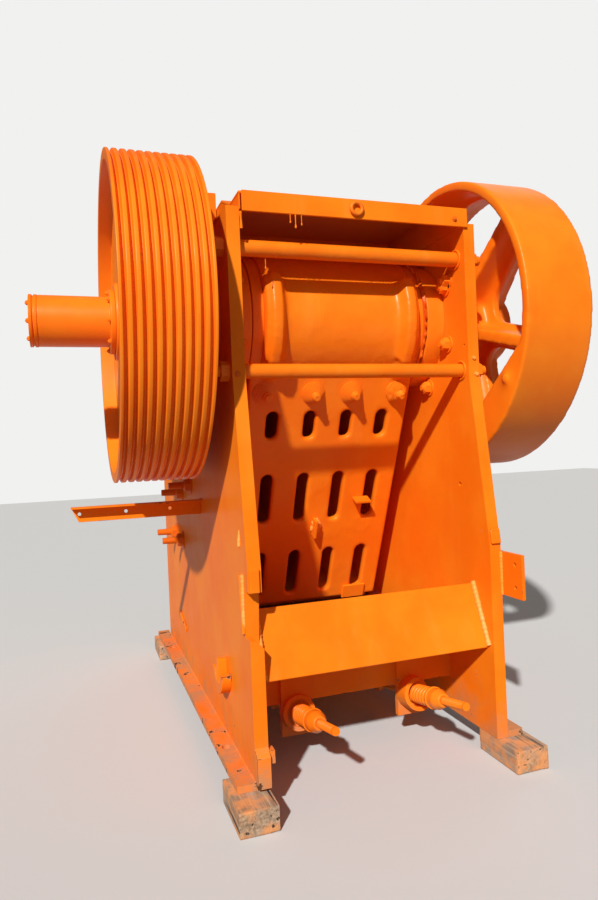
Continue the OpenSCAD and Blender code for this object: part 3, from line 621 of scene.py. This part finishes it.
def turned_mesh(name, section, matrix, around=128, soft=0.0, steps=3):
    if soft:
        section = softened(section, soft, steps)
    count = len(section)
    angle = np.linspace(0, 2 * math.pi, around, endpoint=False)
    along = np.array([p[0] for p in section])
    radius = np.array([p[1] for p in section])
    points = np.stack([np.outer(np.cos(angle), radius), np.outer(np.sin(angle), radius),
        np.tile(along, (around, 1))], 2).reshape(-1, 3)
    faces = [(i * count + k, i * count + (k + 1) % count, (i + 1) % around * count + (k + 1) % count,
        (i + 1) % around * count + k) for i in range(around) for k in range(count)]
    mesh = bpy.data.meshes.new(name)
    mesh.from_pydata(points.tolist(), [], faces)
    bm = bmesh_of(mesh)
    bmesh.ops.remove_doubles(bm, verts=bm.verts, dist=1e-6)
    bmesh.ops.recalc_face_normals(bm, faces=bm.faces)
    mesh = mesh_of(bm, name)
    mesh.transform(matrix)
    smooth(mesh, 40)
    return mesh


def on_shaft(x):
    """Along +X from the place x on the main shaft."""
    return shift((x, shaft.y, shaft.z)) @ quarter_y


# %% Belt pulley
pulley_low, pulley_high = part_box("drive_pulley")
pulley_r, pulley_w = (pulley_high[2] - pulley_low[2]) / 2, pulley_high[0] - pulley_low[0]
grooves, groove_pitch, groove_d, groove_edge, rim_wall = 10, 0.0365, 0.024, 0.02225, 0.028
groove_shape = ((0.0104, 0), (0.0086, 0.005), (0.0046, groove_d))
rim_inner = pulley_r - groove_d - rim_wall
bore_r, hub_r, hub_in, hub_out, dish_d, web_t = 0.1103, 0.180, 0.032, 0.010, 0.070, 0.040
draft, rim_draft = 0.004, 0.002
rim_line = []
for i in range(grooves):
    c = groove_edge + i * groove_pitch
    rim_line += [(c - half, pulley_r - depth) for half, depth in groove_shape]
    rim_line += [(c + half, pulley_r - depth) for half, depth in reversed(groove_shape)]
rim_mouth, hub_foot, hub_end = rim_inner + rim_draft, hub_r + draft, pulley_w - hub_out
pulley_section = [(hub_in, bore_r), (hub_in, hub_r), (dish_d, hub_foot), (dish_d, rim_inner), (0, rim_mouth),
    (0, pulley_r), *rim_line, (pulley_w, pulley_r), (pulley_w, rim_mouth), (dish_d + web_t, rim_inner),
    (dish_d + web_t, hub_foot), (hub_end, hub_r), (hub_end, bore_r)]
pulley_mesh = turned_mesh("belt_pulley", pulley_section, on_shaft(pulley_low[0]), 180, 0.0028)
hand_in("belt_pulley", pulley_mesh, wheel_paint, "rotor", ["drive_pulley"])

# %% Sleeve and its cap
sleeve_low, sleeve_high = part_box("shaft_sleeve")
cap_low, cap_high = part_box("sleeve_cap")
sleeve_r, flange_r, flange_t, centre_r = 0.118, 0.152, 0.024, 0.002
sleeve_len, cap_r, cap_w = sleeve_high[0] - sleeve_low[0], sleeve_r + 0.002, cap_high[0] - cap_low[0]
sleeve_section = [(0, centre_r), (0, sleeve_r), (sleeve_len - flange_t, sleeve_r),
    (sleeve_len - flange_t, flange_r), (sleeve_len, flange_r), (sleeve_len, centre_r)]
sleeve_mesh = turned_mesh("end_sleeve", sleeve_section, on_shaft(sleeve_low[0]), soft=0.004)
hand_in("end_sleeve", sleeve_mesh, wheel_paint, "rotor", ["shaft_sleeve"])
neck_r = cap_r - 0.006
cap_section = [(0.004, centre_r), (0.004, 0.06), (0, 0.066), (0, cap_r), (0.014, cap_r), (0.016, neck_r),
    (0.021, neck_r), (0.023, cap_r), (cap_w, cap_r), (cap_w, centre_r)]
cap_mesh = turned_mesh("end_cap", cap_section, on_shaft(cap_low[0]), soft=0.002)
hand_in("end_cap", cap_mesh, wheel_paint, "rotor", ["sleeve_cap"])

# %% Bearing housings and the covers of the pitman's bearings
bore, ring_x, ring_r, wall_r = 0.1303, 0.458, 0.322, 0.2617
flange_x, hub_x, cap_x = side_out + 0.038, side_out + 0.054, side_out + 0.070
big_r, hub_big, cap_big = 0.350, 0.232, 0.198
housing_section = [(ring_x, bore), (ring_x, ring_r), (side_in, ring_r), (side_in, wall_r), (side_out, wall_r),
    (side_out, big_r), (flange_x, big_r), (flange_x, hub_big), (hub_x, hub_big), (hub_x, cap_big),
    (cap_x, cap_big), (cap_x, bore)]
cover_x, cover_face, cover_r, cover_bore = 0.395, 0.450, 0.318, 0.1503
cover_section = [(cover_x, cover_bore), (cover_x, cover_r), (cover_face, cover_r), (cover_face, 0.250),
    (0.444, 0.244), (0.444, 0.205), (cover_face, 0.199), (cover_face, cover_bore)]
on_eccentric = shift((0, eccentric.y, eccentric.z)) @ quarter_y
covers = []
for name, sign in (("left_bearing_housing", -1), ("right_bearing_housing", 1)):
    section = [(sign * x, r) for x, r in housing_section]
    housing = turned_mesh(name, section, on_shaft(0), 144, 0.005)
    hand_in(name + "_turned", housing, casting_paint, "frame", [name])
    covers.append(turned_mesh("cover", [(sign * x, r) for x, r in cover_section], on_eccentric, 144, 0.004))
hand_in("bearing_covers", covers, casting_paint, "pitman", ["pitman_covers"])

# %% [markdown]
# Four long bolts hold the swinging die. Behind the casting each ends in a stack of dished spring washers
# and a nut, thick with paint. A stack is turned from one line, which steps inwards with each washer, and
# leans a little by a seeded random angle. The last one on the right is also pushed about by noise,
# because in the photograph it looks ragged.

# %% Jaw bolts with their stacks of spring washers
bolt_rows = (-0.360, -0.105, 0.105, 0.360)
bolt_v, bolt_w, most_lean = -0.276, -0.277, 0.03
washer_count, washer_t, washer_r, washer_step, washer_z = 5, 0.0098, 0.060, 0.0072, 0.002
lip_out, gap_in, floor_in = 0.0005, 0.011, 0.014
nut_top, nut_r, stud_r, stud_top, centre_r = 0.012, 0.023, 0.017, 0.078, 0.001
stack_line = [(0, centre_r), (0, washer_r)]
for i in range(washer_count):
    z, r = washer_z + i * washer_t, washer_r - washer_step * i
    stack_line += [(z, r), (z + washer_t * 0.50, r + lip_out), (z + washer_t * 0.56, r - gap_in),
        (z + washer_t * 0.98, r - floor_in)]
top = washer_z + washer_count * washer_t
stack_line += [(top, nut_r + 0.002), (top + nut_top, nut_r), (top + nut_top + 0.001, stud_r + 0.001),
    (stud_top, stud_r), (stud_top, centre_r)]
rng = np.random.default_rng(7)
stacks = []
for x in bolt_rows:
    place = pitman_frame @ shift((x, bolt_v, bolt_w)) @ quarter_x
    stack = turned_mesh("stack", stack_line, Matrix.Identity(4), 40, 0.0011, 2)
    lean_x, lean_y = rng.uniform(-most_lean, most_lean), rng.uniform(-most_lean, most_lean)
    if x == bolt_rows[-1]:
        for vert in stack.vertices:
            vert.co *= 1 + wobble(vert.co * 45) * 0.10
    stack.transform(place @ Matrix.Rotation(lean_x, 4, "X") @ Matrix.Rotation(lean_y, 4, "Y"))
    stacks.append(stack)
hand_in("spring_washer_stacks", stacks, casting_paint, "pitman", ["jaw_bolts"])

# %% [markdown]
# Two rods pull the foot of the pitman back against the toggle plate. Each carries a coil spring between
# a cup and a round nut. The spring is a helix with a round wire, made by Geometry Nodes: a spiral curve is
# given the wire's section. The same tree cuts the thread on the rod's end, with a finer wire.

# %% A tree for coils
def tree_of(name, floats, ints=(), geometry=False):
    tree = bpy.data.node_groups.new(name, "GeometryNodeTree")
    tree.is_modifier = True
    if geometry:
        add_sockets(tree, "INPUT", "Geometry", {"Geometry": None})
    add_sockets(tree, "INPUT", "Float", floats)
    add_sockets(tree, "INPUT", "Int", ints)
    add_sockets(tree, "INPUT", "Material", {"Material": None})
    add_sockets(tree, "OUTPUT", "Geometry", {"Geometry": None})
    return tree, tree.nodes.new("NodeGroupInput").outputs


def geo(tree, kind, props=(), **inputs):
    """The first output of a new geometry node."""
    return put(tree, "GeometryNode" + kind, props, **inputs).outputs[0]


def end_tree(tree, geometry, material):
    real = geo(tree, "RealizeInstances", i0=geometry)
    painted = geo(tree, "SetMaterial", Geometry=real, Material=material)
    fill(tree.nodes.new("NodeGroupOutput"), Geometry=painted)


def grown(tree, material, start=None, **values):
    """The plain mesh that a tree makes, from a start mesh where it needs one."""
    named = {item.name: item.identifier for item in tree.interface.items_tree if item.in_out == "INPUT"}
    sockets = {named[key.replace("_", " ")]: value for key, value in values.items()}
    sockets[named["Material"]] = material
    return modified(start or bpy.data.meshes.new("empty"), "NODES", sockets, node_group=tree)


coil = {"Turns": 10.0, "Radius": 0.038, "Length": 0.2, "Wire": 0.008}
coils, g_in = tree_of("coils", coil, {"Steps": 24})
helix = geo(coils, "CurveSpiral", Resolution=g_in["Steps"], Rotations=g_in["Turns"],
    Start_Radius=g_in["Radius"], End_Radius=g_in["Radius"], Height=g_in["Length"])
wire = geo(coils, "CurvePrimitiveCircle", Resolution=10, Radius=g_in["Wire"])
tube = geo(coils, "CurveToMesh", Curve=helix, Profile_Curve=wire, Fill_Caps=True)
end_tree(coils, geo(coils, "SetShadeSmooth", Geometry=tube), g_in["Material"])

# %% Springs, threads and nuts on the tension rods
rod_x, rod_y, rod_z, rod_rise, rod_r = 0.305, top_rear + 0.275, 0.136, math.radians(11.5), 0.018
cup_floor, spring_len, spring_r, spring_wire, spring_turns = 0.050, 0.200, 0.036, 0.0105, 6.5
rod_back, thread_turns, thread_wire, nut_len, free, fit = 0.540, 40.0, 0.0014, 0.100, 0.0006, 0.0003
nut_r, collar_r, waist_r, collar_t, waist_len = 0.030, 0.052, 0.047, 0.014, 0.056
washer_at = cup_floor + spring_len + free
thread_len, thread_from = rod_back - washer_at - 0.115, washer_at + nut_len + 0.004
hole_r = rod_r + fit
nut_section = [(0, hole_r), (0, collar_r), (collar_t, collar_r), (collar_t, waist_r), (waist_len, waist_r),
    (nut_len, nut_r), (nut_len, hole_r)]
springs, nuts, threads = [], [], []
for sign in (-1, 1):
    rod = shift((sign * rod_x, rod_y, rod_z)) @ Matrix.Rotation(math.pi / 2 - rod_rise, 4, "X")
    spring = grown(coils, casting_paint, Turns=spring_turns, Radius=spring_r,
        Length=spring_len - 2 * spring_wire, Wire=spring_wire, Steps=28)
    spring.transform(rod @ shift((0, 0, cup_floor + spring_wire)))
    springs.append(spring)
    nuts.append(turned_mesh("nut", nut_section, rod @ shift((0, 0, washer_at)), 64, 0.004))
    thread = grown(coils, casting_paint, Turns=thread_turns, Radius=rod_r, Length=thread_len,
        Wire=thread_wire, Steps=20)
    thread.transform(rod @ shift((0, 0, thread_from)))
    threads.append(thread)
hand_in("coil_springs", springs, casting_paint, "frame", ["rod_springs"])
hand_in("round_nuts", nuts, casting_paint, "frame", ["rod_washers"])
hand_in("rod_threads", threads, casting_paint, "frame")

# %% [markdown]
# Welds join the plates. A bead is laid in small steps, so it looks like a row of overlapping scales. A
# second tree turns each straight line of a start mesh into a tube whose thickness swells with every step.

# %% A tree for weld beads
bead_step, swell_share, least_size = 0.0045, 0.24, 0.32
beads, g_in = tree_of("weld_beads", {"Radius": 0.007, "Scale length": 0.009}, geometry=True)
line = geo(beads, "MeshToCurve", Mesh=g_in["Geometry"])
fine = geo(beads, "ResampleCurve", {"mode": "LENGTH"}, Curve=line, Length=bead_step)
along = put(beads, "GeometryNodeSplineParameter").outputs["Length"]
saw = sums(beads, "FRACT", sums(beads, "DIVIDE", along, g_in["Scale length"]))
wander = put(beads, "ShaderNodeTexNoise", Scale=23.0, Detail=2.0).outputs[0]
swell = plus(sums(beads, "MULTIPLY_ADD", saw, swell_share, wander), least_size)
size = times(swell, g_in["Radius"])
section = geo(beads, "CurvePrimitiveCircle", Resolution=7, Radius=1.0)
tube = geo(beads, "CurveToMesh", Curve=fine, Profile_Curve=section, Scale=size, Fill_Caps=True)
end_tree(beads, geo(beads, "SetShadeSmooth", Geometry=tube), g_in["Material"])


def laid(lines, radius, scale_length, rings=()):
    """Beads along straight lines, and round circles given as place along X, Y, Z and radius."""
    points = [p for pair in lines for p in pair]
    edges = [(2 * i, 2 * i + 1) for i in range(len(lines))]
    for x, y, z, r in rings:
        first = len(points)
        turn = np.linspace(0, 2 * math.pi, 24, endpoint=False)
        points += [(x, y + r * math.cos(a), z + r * math.sin(a)) for a in turn]
        edges += [(first + k, first + (k + 1) % 24) for k in range(24)]
    start = bpy.data.meshes.new("lines")
    start.from_pydata(points, edges, [])
    return grown(beads, weld_paint, start, Radius=radius, Scale_length=scale_length)


# %% Lay the welds between the plates and round the tie bars
proud, rib_t, rib_count = 0.001, 0.040, 6
beam_low, beam_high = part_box("toggle_beam")
flange_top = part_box("right_base_flange")[1][2]
ribs_low, ribs_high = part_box("front_ribs")
slab_tilt, slab_len = math.radians(21.6), 0.306
slab_top = Vector((0, top_rear + 0.035, 0.707))
slab_foot = slab_top + slab_len * Vector((0, -math.sin(slab_tilt), -math.cos(slab_tilt)))
wall_rear, wall_front = top_rear + 0.168, top_rear + 0.837
bead_lines = []
for sign in (-1, 1):
    x_in, x_out = sign * (side_in - proud), sign * (side_out + proud)
    slab_line = ((x_in, slab_top.y - proud, slab_top.z - 0.004),
        (x_in, slab_foot.y - proud, slab_foot.z + 0.004))
    foot_line = ((x_out, base_rear + 0.003, flange_top), (x_out, base_front - 0.003, flange_top))
    beam_lines = [((x_in, y, beam_low[2]), (x_in, y, beam_high[2])) for y in (beam_low[1], beam_high[1])]
    wall_lines = [((x, wall_rear, frame_top), (x, wall_front, frame_top)) for x in (x_out, x_in)]
    bead_lines += [slab_line, *beam_lines, foot_line, *wall_lines]
    for i in range(rib_count):
        z = ribs_low[2] + i * (ribs_high[2] - ribs_low[2] - rib_t) / (rib_count - 1) + rib_t
        bead_lines.append(((x_in, ribs_low[1] + 0.004, z), (x_in, ribs_high[1] - 0.004, z)))
for name in ("left_rod_bracket", "right_rod_bracket"):
    low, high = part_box(name)
    x_pair, y, top = (low[0] + 0.005, high[0] - 0.005), beam_low[1], high[2]
    bead_lines += [((x, y, beam_low[2] + 0.002), (x, y, top)) for x in x_pair]
    bead_lines.append(((x_pair[0], y, top), (x_pair[1], y, top)))
bracket_low, bracket_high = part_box("guard_bracket")
bracket_corner = (-side_out, bracket_high[1], bracket_high[2])
bead_lines += [((-side_out, bracket_low[1], bracket_high[2]), bracket_corner),
    ((-side_out, bracket_high[1], bracket_low[2]), bracket_corner)]
lip_end = -side_in + 0.006
bead_lines.append(((lip_end, top_rear - 0.002, 2.417), (lip_end + 0.002, top_rear - 0.001, 2.345)))
for name in ("left_edge_pad", "right_edge_pad"):
    low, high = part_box(name)
    x_pair = (low[0] + 0.004, high[0] - 0.004)
    bead_lines += [tuple((x, base_rear, z) for x in x_pair) for z in (low[2], high[2])]
tie_rings = []
for name in ("upper_tie_bar", "lower_tie_bar"):
    bar_low, bar_high = [Vector(v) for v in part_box(name)]
    middle, bar_r = (bar_low + bar_high) / 2, (bar_high.z - bar_low.z) / 2
    tie_rings += [(sign * (side_in - 0.003), middle.y, middle.z, bar_r) for sign in (-1, 1)]
bead_mesh = laid(bead_lines, 0.0062, 0.0105, tie_rings)
hand_in("weld_beads", bead_mesh, plate_paint, "frame")

# %% [markdown]
# Some joints carry far more force than others, and there the welder laid a thick bead: beside the slab,
# along the bracket plate and the small bars on the sides, and as short tacks on the right rear edge.

# %% Lay the heavy welds
bracket_low, bracket_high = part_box("right_bracket_plate")
heavy_x, bracket_y = side_out + proud, -1.230
slab_lines = [((sign * (side_in - 0.005), slab_top.y - 0.004, slab_top.z + 0.008),
    (sign * (side_in - 0.004), slab_foot.y - 0.006, slab_foot.z + 0.01)) for sign in (-1, 1)]
slab_mesh = laid(slab_lines, 0.0135, 0.021)
heavy_lines = [((heavy_x, bracket_y, bracket_low[2]), (heavy_x, bracket_y, bracket_high[2])),
    ((-heavy_x, -1.150, 0.875), (-heavy_x, -1.140, 0.640)),
    ((-side_out + 0.006, -1.111, 1.06), (-side_out - 0.004, -1.115, 0.99)),
    ((0.573, top_rear, 1.798), (0.587, top_rear, 1.792)),
    ((0.583, top_rear, 1.722), (0.597, top_rear, 1.715))]
hand_in("heavy_welds", [slab_mesh, laid(heavy_lines, 0.0105, 0.0165)], weld_paint, "frame")

# %% [markdown]
# Bolts repeat too. A start mesh holds one point for each bolt, and an attribute says which way it faces.
# The tree puts a washer, a hexagon with a slight taper and the end of a stud at each point, and turns
# each head about its own axis by a seeded random angle, because nobody lines up bolt heads.

# %% A tree for bolts
bolting, g_in = tree_of("bolts", {"Head": 0.018, "Height": 0.016, "Stud": 1.5}, geometry=True)


def raised_part(part, up, scale=(1, 1, 1)):
    return geo(bolting, "Transform", Geometry=part, Translation=(0, 0, up), Scale=scale)


washer = geo(bolting, "MeshCylinder", Vertices=20, Radius=1.28, Depth=0.22)
nut = geo(bolting, "MeshCone", Vertices=6, Radius_Top=0.93, Radius_Bottom=1.0, Depth=0.9)
stud = geo(bolting, "MeshCone", Vertices=14, Radius_Top=0.44, Radius_Bottom=0.52, Depth=g_in["Stud"])
dome = geo(bolting, "MeshUVSphere", Segments=14, Rings=8, Radius=0.78)
bolt = put(bolting, "GeometryNodeJoinGeometry")
for part in (raised_part(washer, 0.11), raised_part(nut, 0.15), stud, raised_part(dome, 0.98, (1, 1, 0.42))):
    bolting.links.new(part, bolt.inputs[0])
sized = put(bolting, "ShaderNodeCombineXYZ", i0=g_in["Head"], i1=g_in["Head"], i2=g_in["Height"]).outputs[0]
facing = geo(bolting, "InputNamedAttribute", {"data_type": "FLOAT_VECTOR"}, Name="facing")
turn = put(bolting, "FunctionNodeAlignRotationToVector", {"axis": "Z"}, Vector=facing).outputs[0]
spin = put(bolting, "FunctionNodeRandomValue", {"data_type": "FLOAT"}, Seed=11).outputs[1]
spin = times(spin, 2 * math.pi)
twist = put(bolting, "FunctionNodeAxisAngleToRotation", Axis=(0, 0, 1), Angle=spin).outputs[0]
turn = put(bolting, "FunctionNodeRotateRotation", {"rotation_space": "LOCAL"}, Rotation=turn,
    Rotate_By=twist).outputs[0]
placed = geo(bolting, "InstanceOnPoints", Points=g_in["Geometry"], Instance=bolt.outputs[0], Rotation=turn,
    Scale=sized)
end_tree(bolting, placed, g_in["Material"])


def bolts(name, places, material, body, head, height, stud=1.5):
    mesh = bpy.data.meshes.new("points")
    mesh.from_pydata([p for p, _ in places], [], [])
    attribute = mesh.attributes.new("facing", "FLOAT_VECTOR", "POINT")
    attribute.data.foreach_set("vector", [c for _, way in places for c in way])
    made = grown(bolting, material, mesh, Head=head, Height=height, Stud=stud)
    smooth(made, 32)
    hand_in(name, made, material, body)


def ring(x, radius, count, first, way):
    """Places round the shaft at x, the first one turned by so many degrees."""
    turn = [math.radians(first + 360 * i / count) for i in range(count)]
    return [((x, shaft.y + radius * math.cos(a), shaft.z + radius * math.sin(a)), way) for a in turn]


# %% [markdown]
# The nuts inside the frame that face the wedge of the swinging die are low ones. At the top of its stroke
# the wedge passes them closely, and there a tall stud would be in its way.

# %% Place the bolts
leftwards, rightwards, rearwards = (-1, 0, 0), (1, 0, 0), (0, -1, 0)
inner_rings = [ring(side_in, 0.372, 8, 22.5, leftwards), ring(-side_in, 0.372, 8, 22.5, rightwards)]
housing_nuts = [inner[k] for inner in inner_rings for k in range(1, 7)]
housing_nuts.append(((side_in, -0.956, 2.200), leftwards))
bolts("housing_nuts", housing_nuts, casting_paint, "frame", 0.034, 0.034)
low_nuts = [inner[k] for inner in inner_rings for k in (0, 7)]
bolts("low_nuts", low_nuts, casting_paint, "frame", 0.034, 0.012, 1.0)
flange_bolts = ring(-flange_x, 0.300, 8, 22.5, leftwards) + ring(flange_x, 0.300, 8, 22.5, rightwards)
bolts("housing_bolts", flange_bolts, bolt_paint_painted_shade, "frame", 0.020, 0.018)
bolts("cap_bolts", ring(cap_low[0], 0.092, 6, 10, leftwards), wheel_paint, "rotor", 0.011, 0.009)
root_x = sleeve_high[0] - flange_t
bolts("root_bolts", ring(root_x, 0.136, 8, 5, leftwards), wheel_paint, "rotor", 0.010, 0.010)
side_bolt_places = ((0.057, 1.203), (0.387, 1.145), (0.428, 0.836), (0.673, 0.864))
side_bolts = [((sign * side_out, y, z), (sign, 0, 0)) for sign in (-1, 1) for y, z in side_bolt_places]
bolts("side_bolts", side_bolts, bolt_paint_painted_shade, "frame", 0.044, 0.036, 3.6)
small_bolts = [((-0.588, top_rear, 1.723), rearwards), ((0.498, top_rear - lip_t, 2.452), rearwards)]
bolts("small_bolts", small_bolts, bolt_paint_painted_shade, "frame", 0.010, 0.007)

# %% [markdown]
# The timbers are sawn blocks that have carried tonnes for years. Each box is divided finely, its edges
# are worn round, and noise drawn out along the grain pushes the skin in and out. The faces that carry
# the load stay flat.

# %% Worn timber blocks
wood_low, wood_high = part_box("timber_blocks")
block_w, block_len, worn_edge, grain_push, skin_back, top_back = 0.170, 0.300, 0.006, 0.0022, 0.0024, 0.0005


def timber_block(low, high, seed):
    low, high = Vector(low), Vector(high)
    size = high - low
    floor_at, top_at = -size.z / 2, size.z / 2
    bm = bmesh.new()
    bmesh.ops.create_cube(bm, size=1)
    bmesh.ops.scale(bm, vec=size, verts=bm.verts)
    bmesh.ops.bevel(bm, geom=bm.edges, offset=worn_edge, segments=2, affect="EDGES", profile=0.5)
    long_edges = [e for e in bm.edges if e.calc_length() > 0.05]
    bmesh.ops.subdivide_edges(bm, edges=long_edges, cuts=14, use_grid_fill=True)
    bmesh.ops.triangulate(bm, faces=[f for f in bm.faces if len(f.verts) > 4])
    bm.normal_update()
    moves = []
    for vert in bm.verts:
        place = Vector((vert.co.x * 22, vert.co.y * 1.6, vert.co.z * 22)) + Vector((seed * 7.3, 0, 0))
        moves.append(vert.normal * (wobble(place) * grain_push - skin_back))
    for vert, move in zip(bm.verts, moves):
        vert.co += move
        vert.co.z = max(vert.co.z, floor_at)
        if vert.co.z < floor_at + 0.003 or vert.co.z > top_at - 0.006:
            vert.co.z = floor_at if vert.co.z < 0 else top_at - top_back
    bmesh.ops.translate(bm, vec=(low + high) / 2, verts=bm.verts)
    mesh = mesh_of(bm, "block")
    smooth(mesh, 40)
    return mesh


x_pair, y_pair = (wood_low[0], wood_high[0] - block_w), (wood_low[1], wood_high[1] - block_len)
starts = [(x, y) for x in x_pair for y in y_pair]
blocks = [timber_block((x, y, wood_low[2]), (x + block_w, y + block_len, wood_high[2]), i)
    for i, (x, y) in enumerate(starts)]
hand_in("sleeper_blocks", blocks, timber, "frame", ["timber_blocks"])

# %% [markdown]
# The hood's roof stands a little above the side plates. A strip of sheet tacked inside each plate closes
# that slot, so that no light falls past it onto the bearings. Its top edge follows the roof. It is drawn
# as an outline, given its thickness, and its edges are rounded.

# %% Closing strips beside the hood
roof_low, roof_high, strip_low = 2.4955, 2.5675, frame_top - 0.011
roof_line = [(top_rear + 0.001, roof_low), (top_rear + 0.170, roof_low), (top_rear + 0.330, roof_high),
    (top_rear + 0.433, roof_high)]
outline = [(roof_line[0][0], strip_low), *roof_line, (roof_line[-1][0], strip_low)]
count = len(outline)
faces = [list(range(count)), list(range(count, 2 * count))]
faces += [(k, (k + 1) % count, (k + 1) % count + count, k + count) for k in range(count)]
strips = []
for sign in (-1, 1):
    points = [(sign * x, y, z) for x in (side_in - 0.007, side_in - 0.001) for y, z in outline]
    strip = bpy.data.meshes.new("strip")
    strip.from_pydata(points, [], faces)
    bm = bmesh_of(strip)
    bmesh.ops.recalc_face_normals(bm, faces=bm.faces)
    bmesh.ops.bevel(bm, geom=bm.edges, offset=0.0012, segments=2, affect="EDGES", profile=0.5)
    strips.append(mesh_of(bm, "strip"))
hand_in("hood_side_strips", strips, plate_paint, "frame")

# %% [markdown]
# A small ring stands on the rear lip of the hood, where a cord once held a cover. It is a circle of round
# wire, turned like the wheels from a small round section.

# %% Ring on the hood's lip
ring_r, wire_r, ring_at = 0.026, 0.009, shift((-0.011, top_rear - 0.021, 2.462))
turn = np.linspace(0, 2 * math.pi, 12, endpoint=False)
wire_line = [(wire_r * math.cos(a), ring_r + wire_r * math.sin(a)) for a in turn]
hood_ring = turned_mesh("hood_ring", wire_line, ring_at @ quarter_x, 40)
hand_in("hood_ring", hood_ring, bolt_paint_painted_shade, "frame")

# %% [markdown]
# A ragged rim of rust and torn paint stands beside the pitman's right ear. The ring is turned
# like the bearing covers, and then noise pulls its rim in and out, so it looks torn. Its dark enamel is
# partly rust and partly painted shade, the shade that the ear throws there.

# %% Torn ring of rust and painted shade
ear_x, torn_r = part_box("pitman")[1][0], 0.316
torn_line = [(ear_x - 0.004, torn_r), (ear_x - 0.004, 0.334), (ear_x + 0.006, 0.335), (ear_x + 0.011, 0.330),
    (ear_x + 0.010, torn_r)]
ragged = turned_mesh("ragged", torn_line, on_eccentric, 240)
for vert in ragged.vertices:
    out = Vector((0, vert.co.y - eccentric.y, vert.co.z - eccentric.z))
    if out.length > 0.325:
        push = wobble(vert.co * 34) * 0.014 + wobble(vert.co * 110) * 0.008
        vert.co += out.normalized() * max(min(push, 0.012), -0.014)
hand_in("torn_rust_ring_painted_shade", ragged, bolt_paint_painted_shade, "pitman")

# %% [markdown]
# A lug for lifting was once burnt off the pitman's back, and a rough stump is left. A ball is stretched
# to the stump's size, and two layers of noise make it lumpy.

# %% Stump of the burnt lug
stump_at, stump_size = Vector((0.002, -0.279, -1.073)), (0.028, 0.020, 0.052)
stump = bmesh.new()
bmesh.ops.create_icosphere(stump, subdivisions=5, radius=1)
for vert in stump.verts:
    lump = 1 + wobble(vert.co * 2.3 + Vector((3, 0, 0))) * 0.35 + wobble(vert.co * 7) * 0.16
    vert.co = pitman_frame @ (stump_at + Vector([c * s for c, s in zip(vert.co, stump_size)]) * lump)
stump_mesh = mesh_of(stump, "stump")
smooth(stump_mesh, 60)
hand_in("burnt_lug", stump_mesh, weld_paint, "pitman")

# %% [markdown]
# The thick coat ran before it dried. A few drips hang where a lower edge let it gather: each is a thin
# thread with a round drop at its end, turned from one line.

# %% Drips of paint
def drip(place, length, thick):
    line = [(0, 0.0004), (0, thick), (-0.15 * length, thick * 0.55), (-0.7 * length, thick * 0.42),
        (-0.86 * length, thick), (-0.95 * length, thick * 0.9), (-length, 0.0004)]
    return turned_mesh("drip", line, shift(place), 12, 0.001, 2)


lip_y, lip_low = top_rear - lip_t / 2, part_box("hood")[0][2] + 0.001
tie_y, tie_low = top_rear + 0.081, frame_top - 0.154 - 0.035
drips = [drip((x, lip_y, lip_low), length, thick) for x, length, thick in
    ((-0.324, 0.040, 0.0045), (-0.300, 0.062, 0.0050), (-0.272, 0.048, 0.0035))]
drips.append(drip((-0.4195, tie_y, tie_low), 0.056, 0.0040))
hand_in("paint_drips", drips, plate_paint, "frame")

# %% [markdown]
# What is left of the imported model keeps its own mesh, because its shape is right: the shaft, the rods and
# the toggle plate. They only get their metal or paint.

# %% Finish the nodes that stay
staying = {"eccentric_shaft": shaft_steel, "tension_rods": casting_paint, "toggle_plate": die_steel}
for node, material in staying.items():
    mesh = nodes[node].data
    mesh.materials.clear()
    mesh.materials.append(material)
print("kept meshes", sorted(staying))
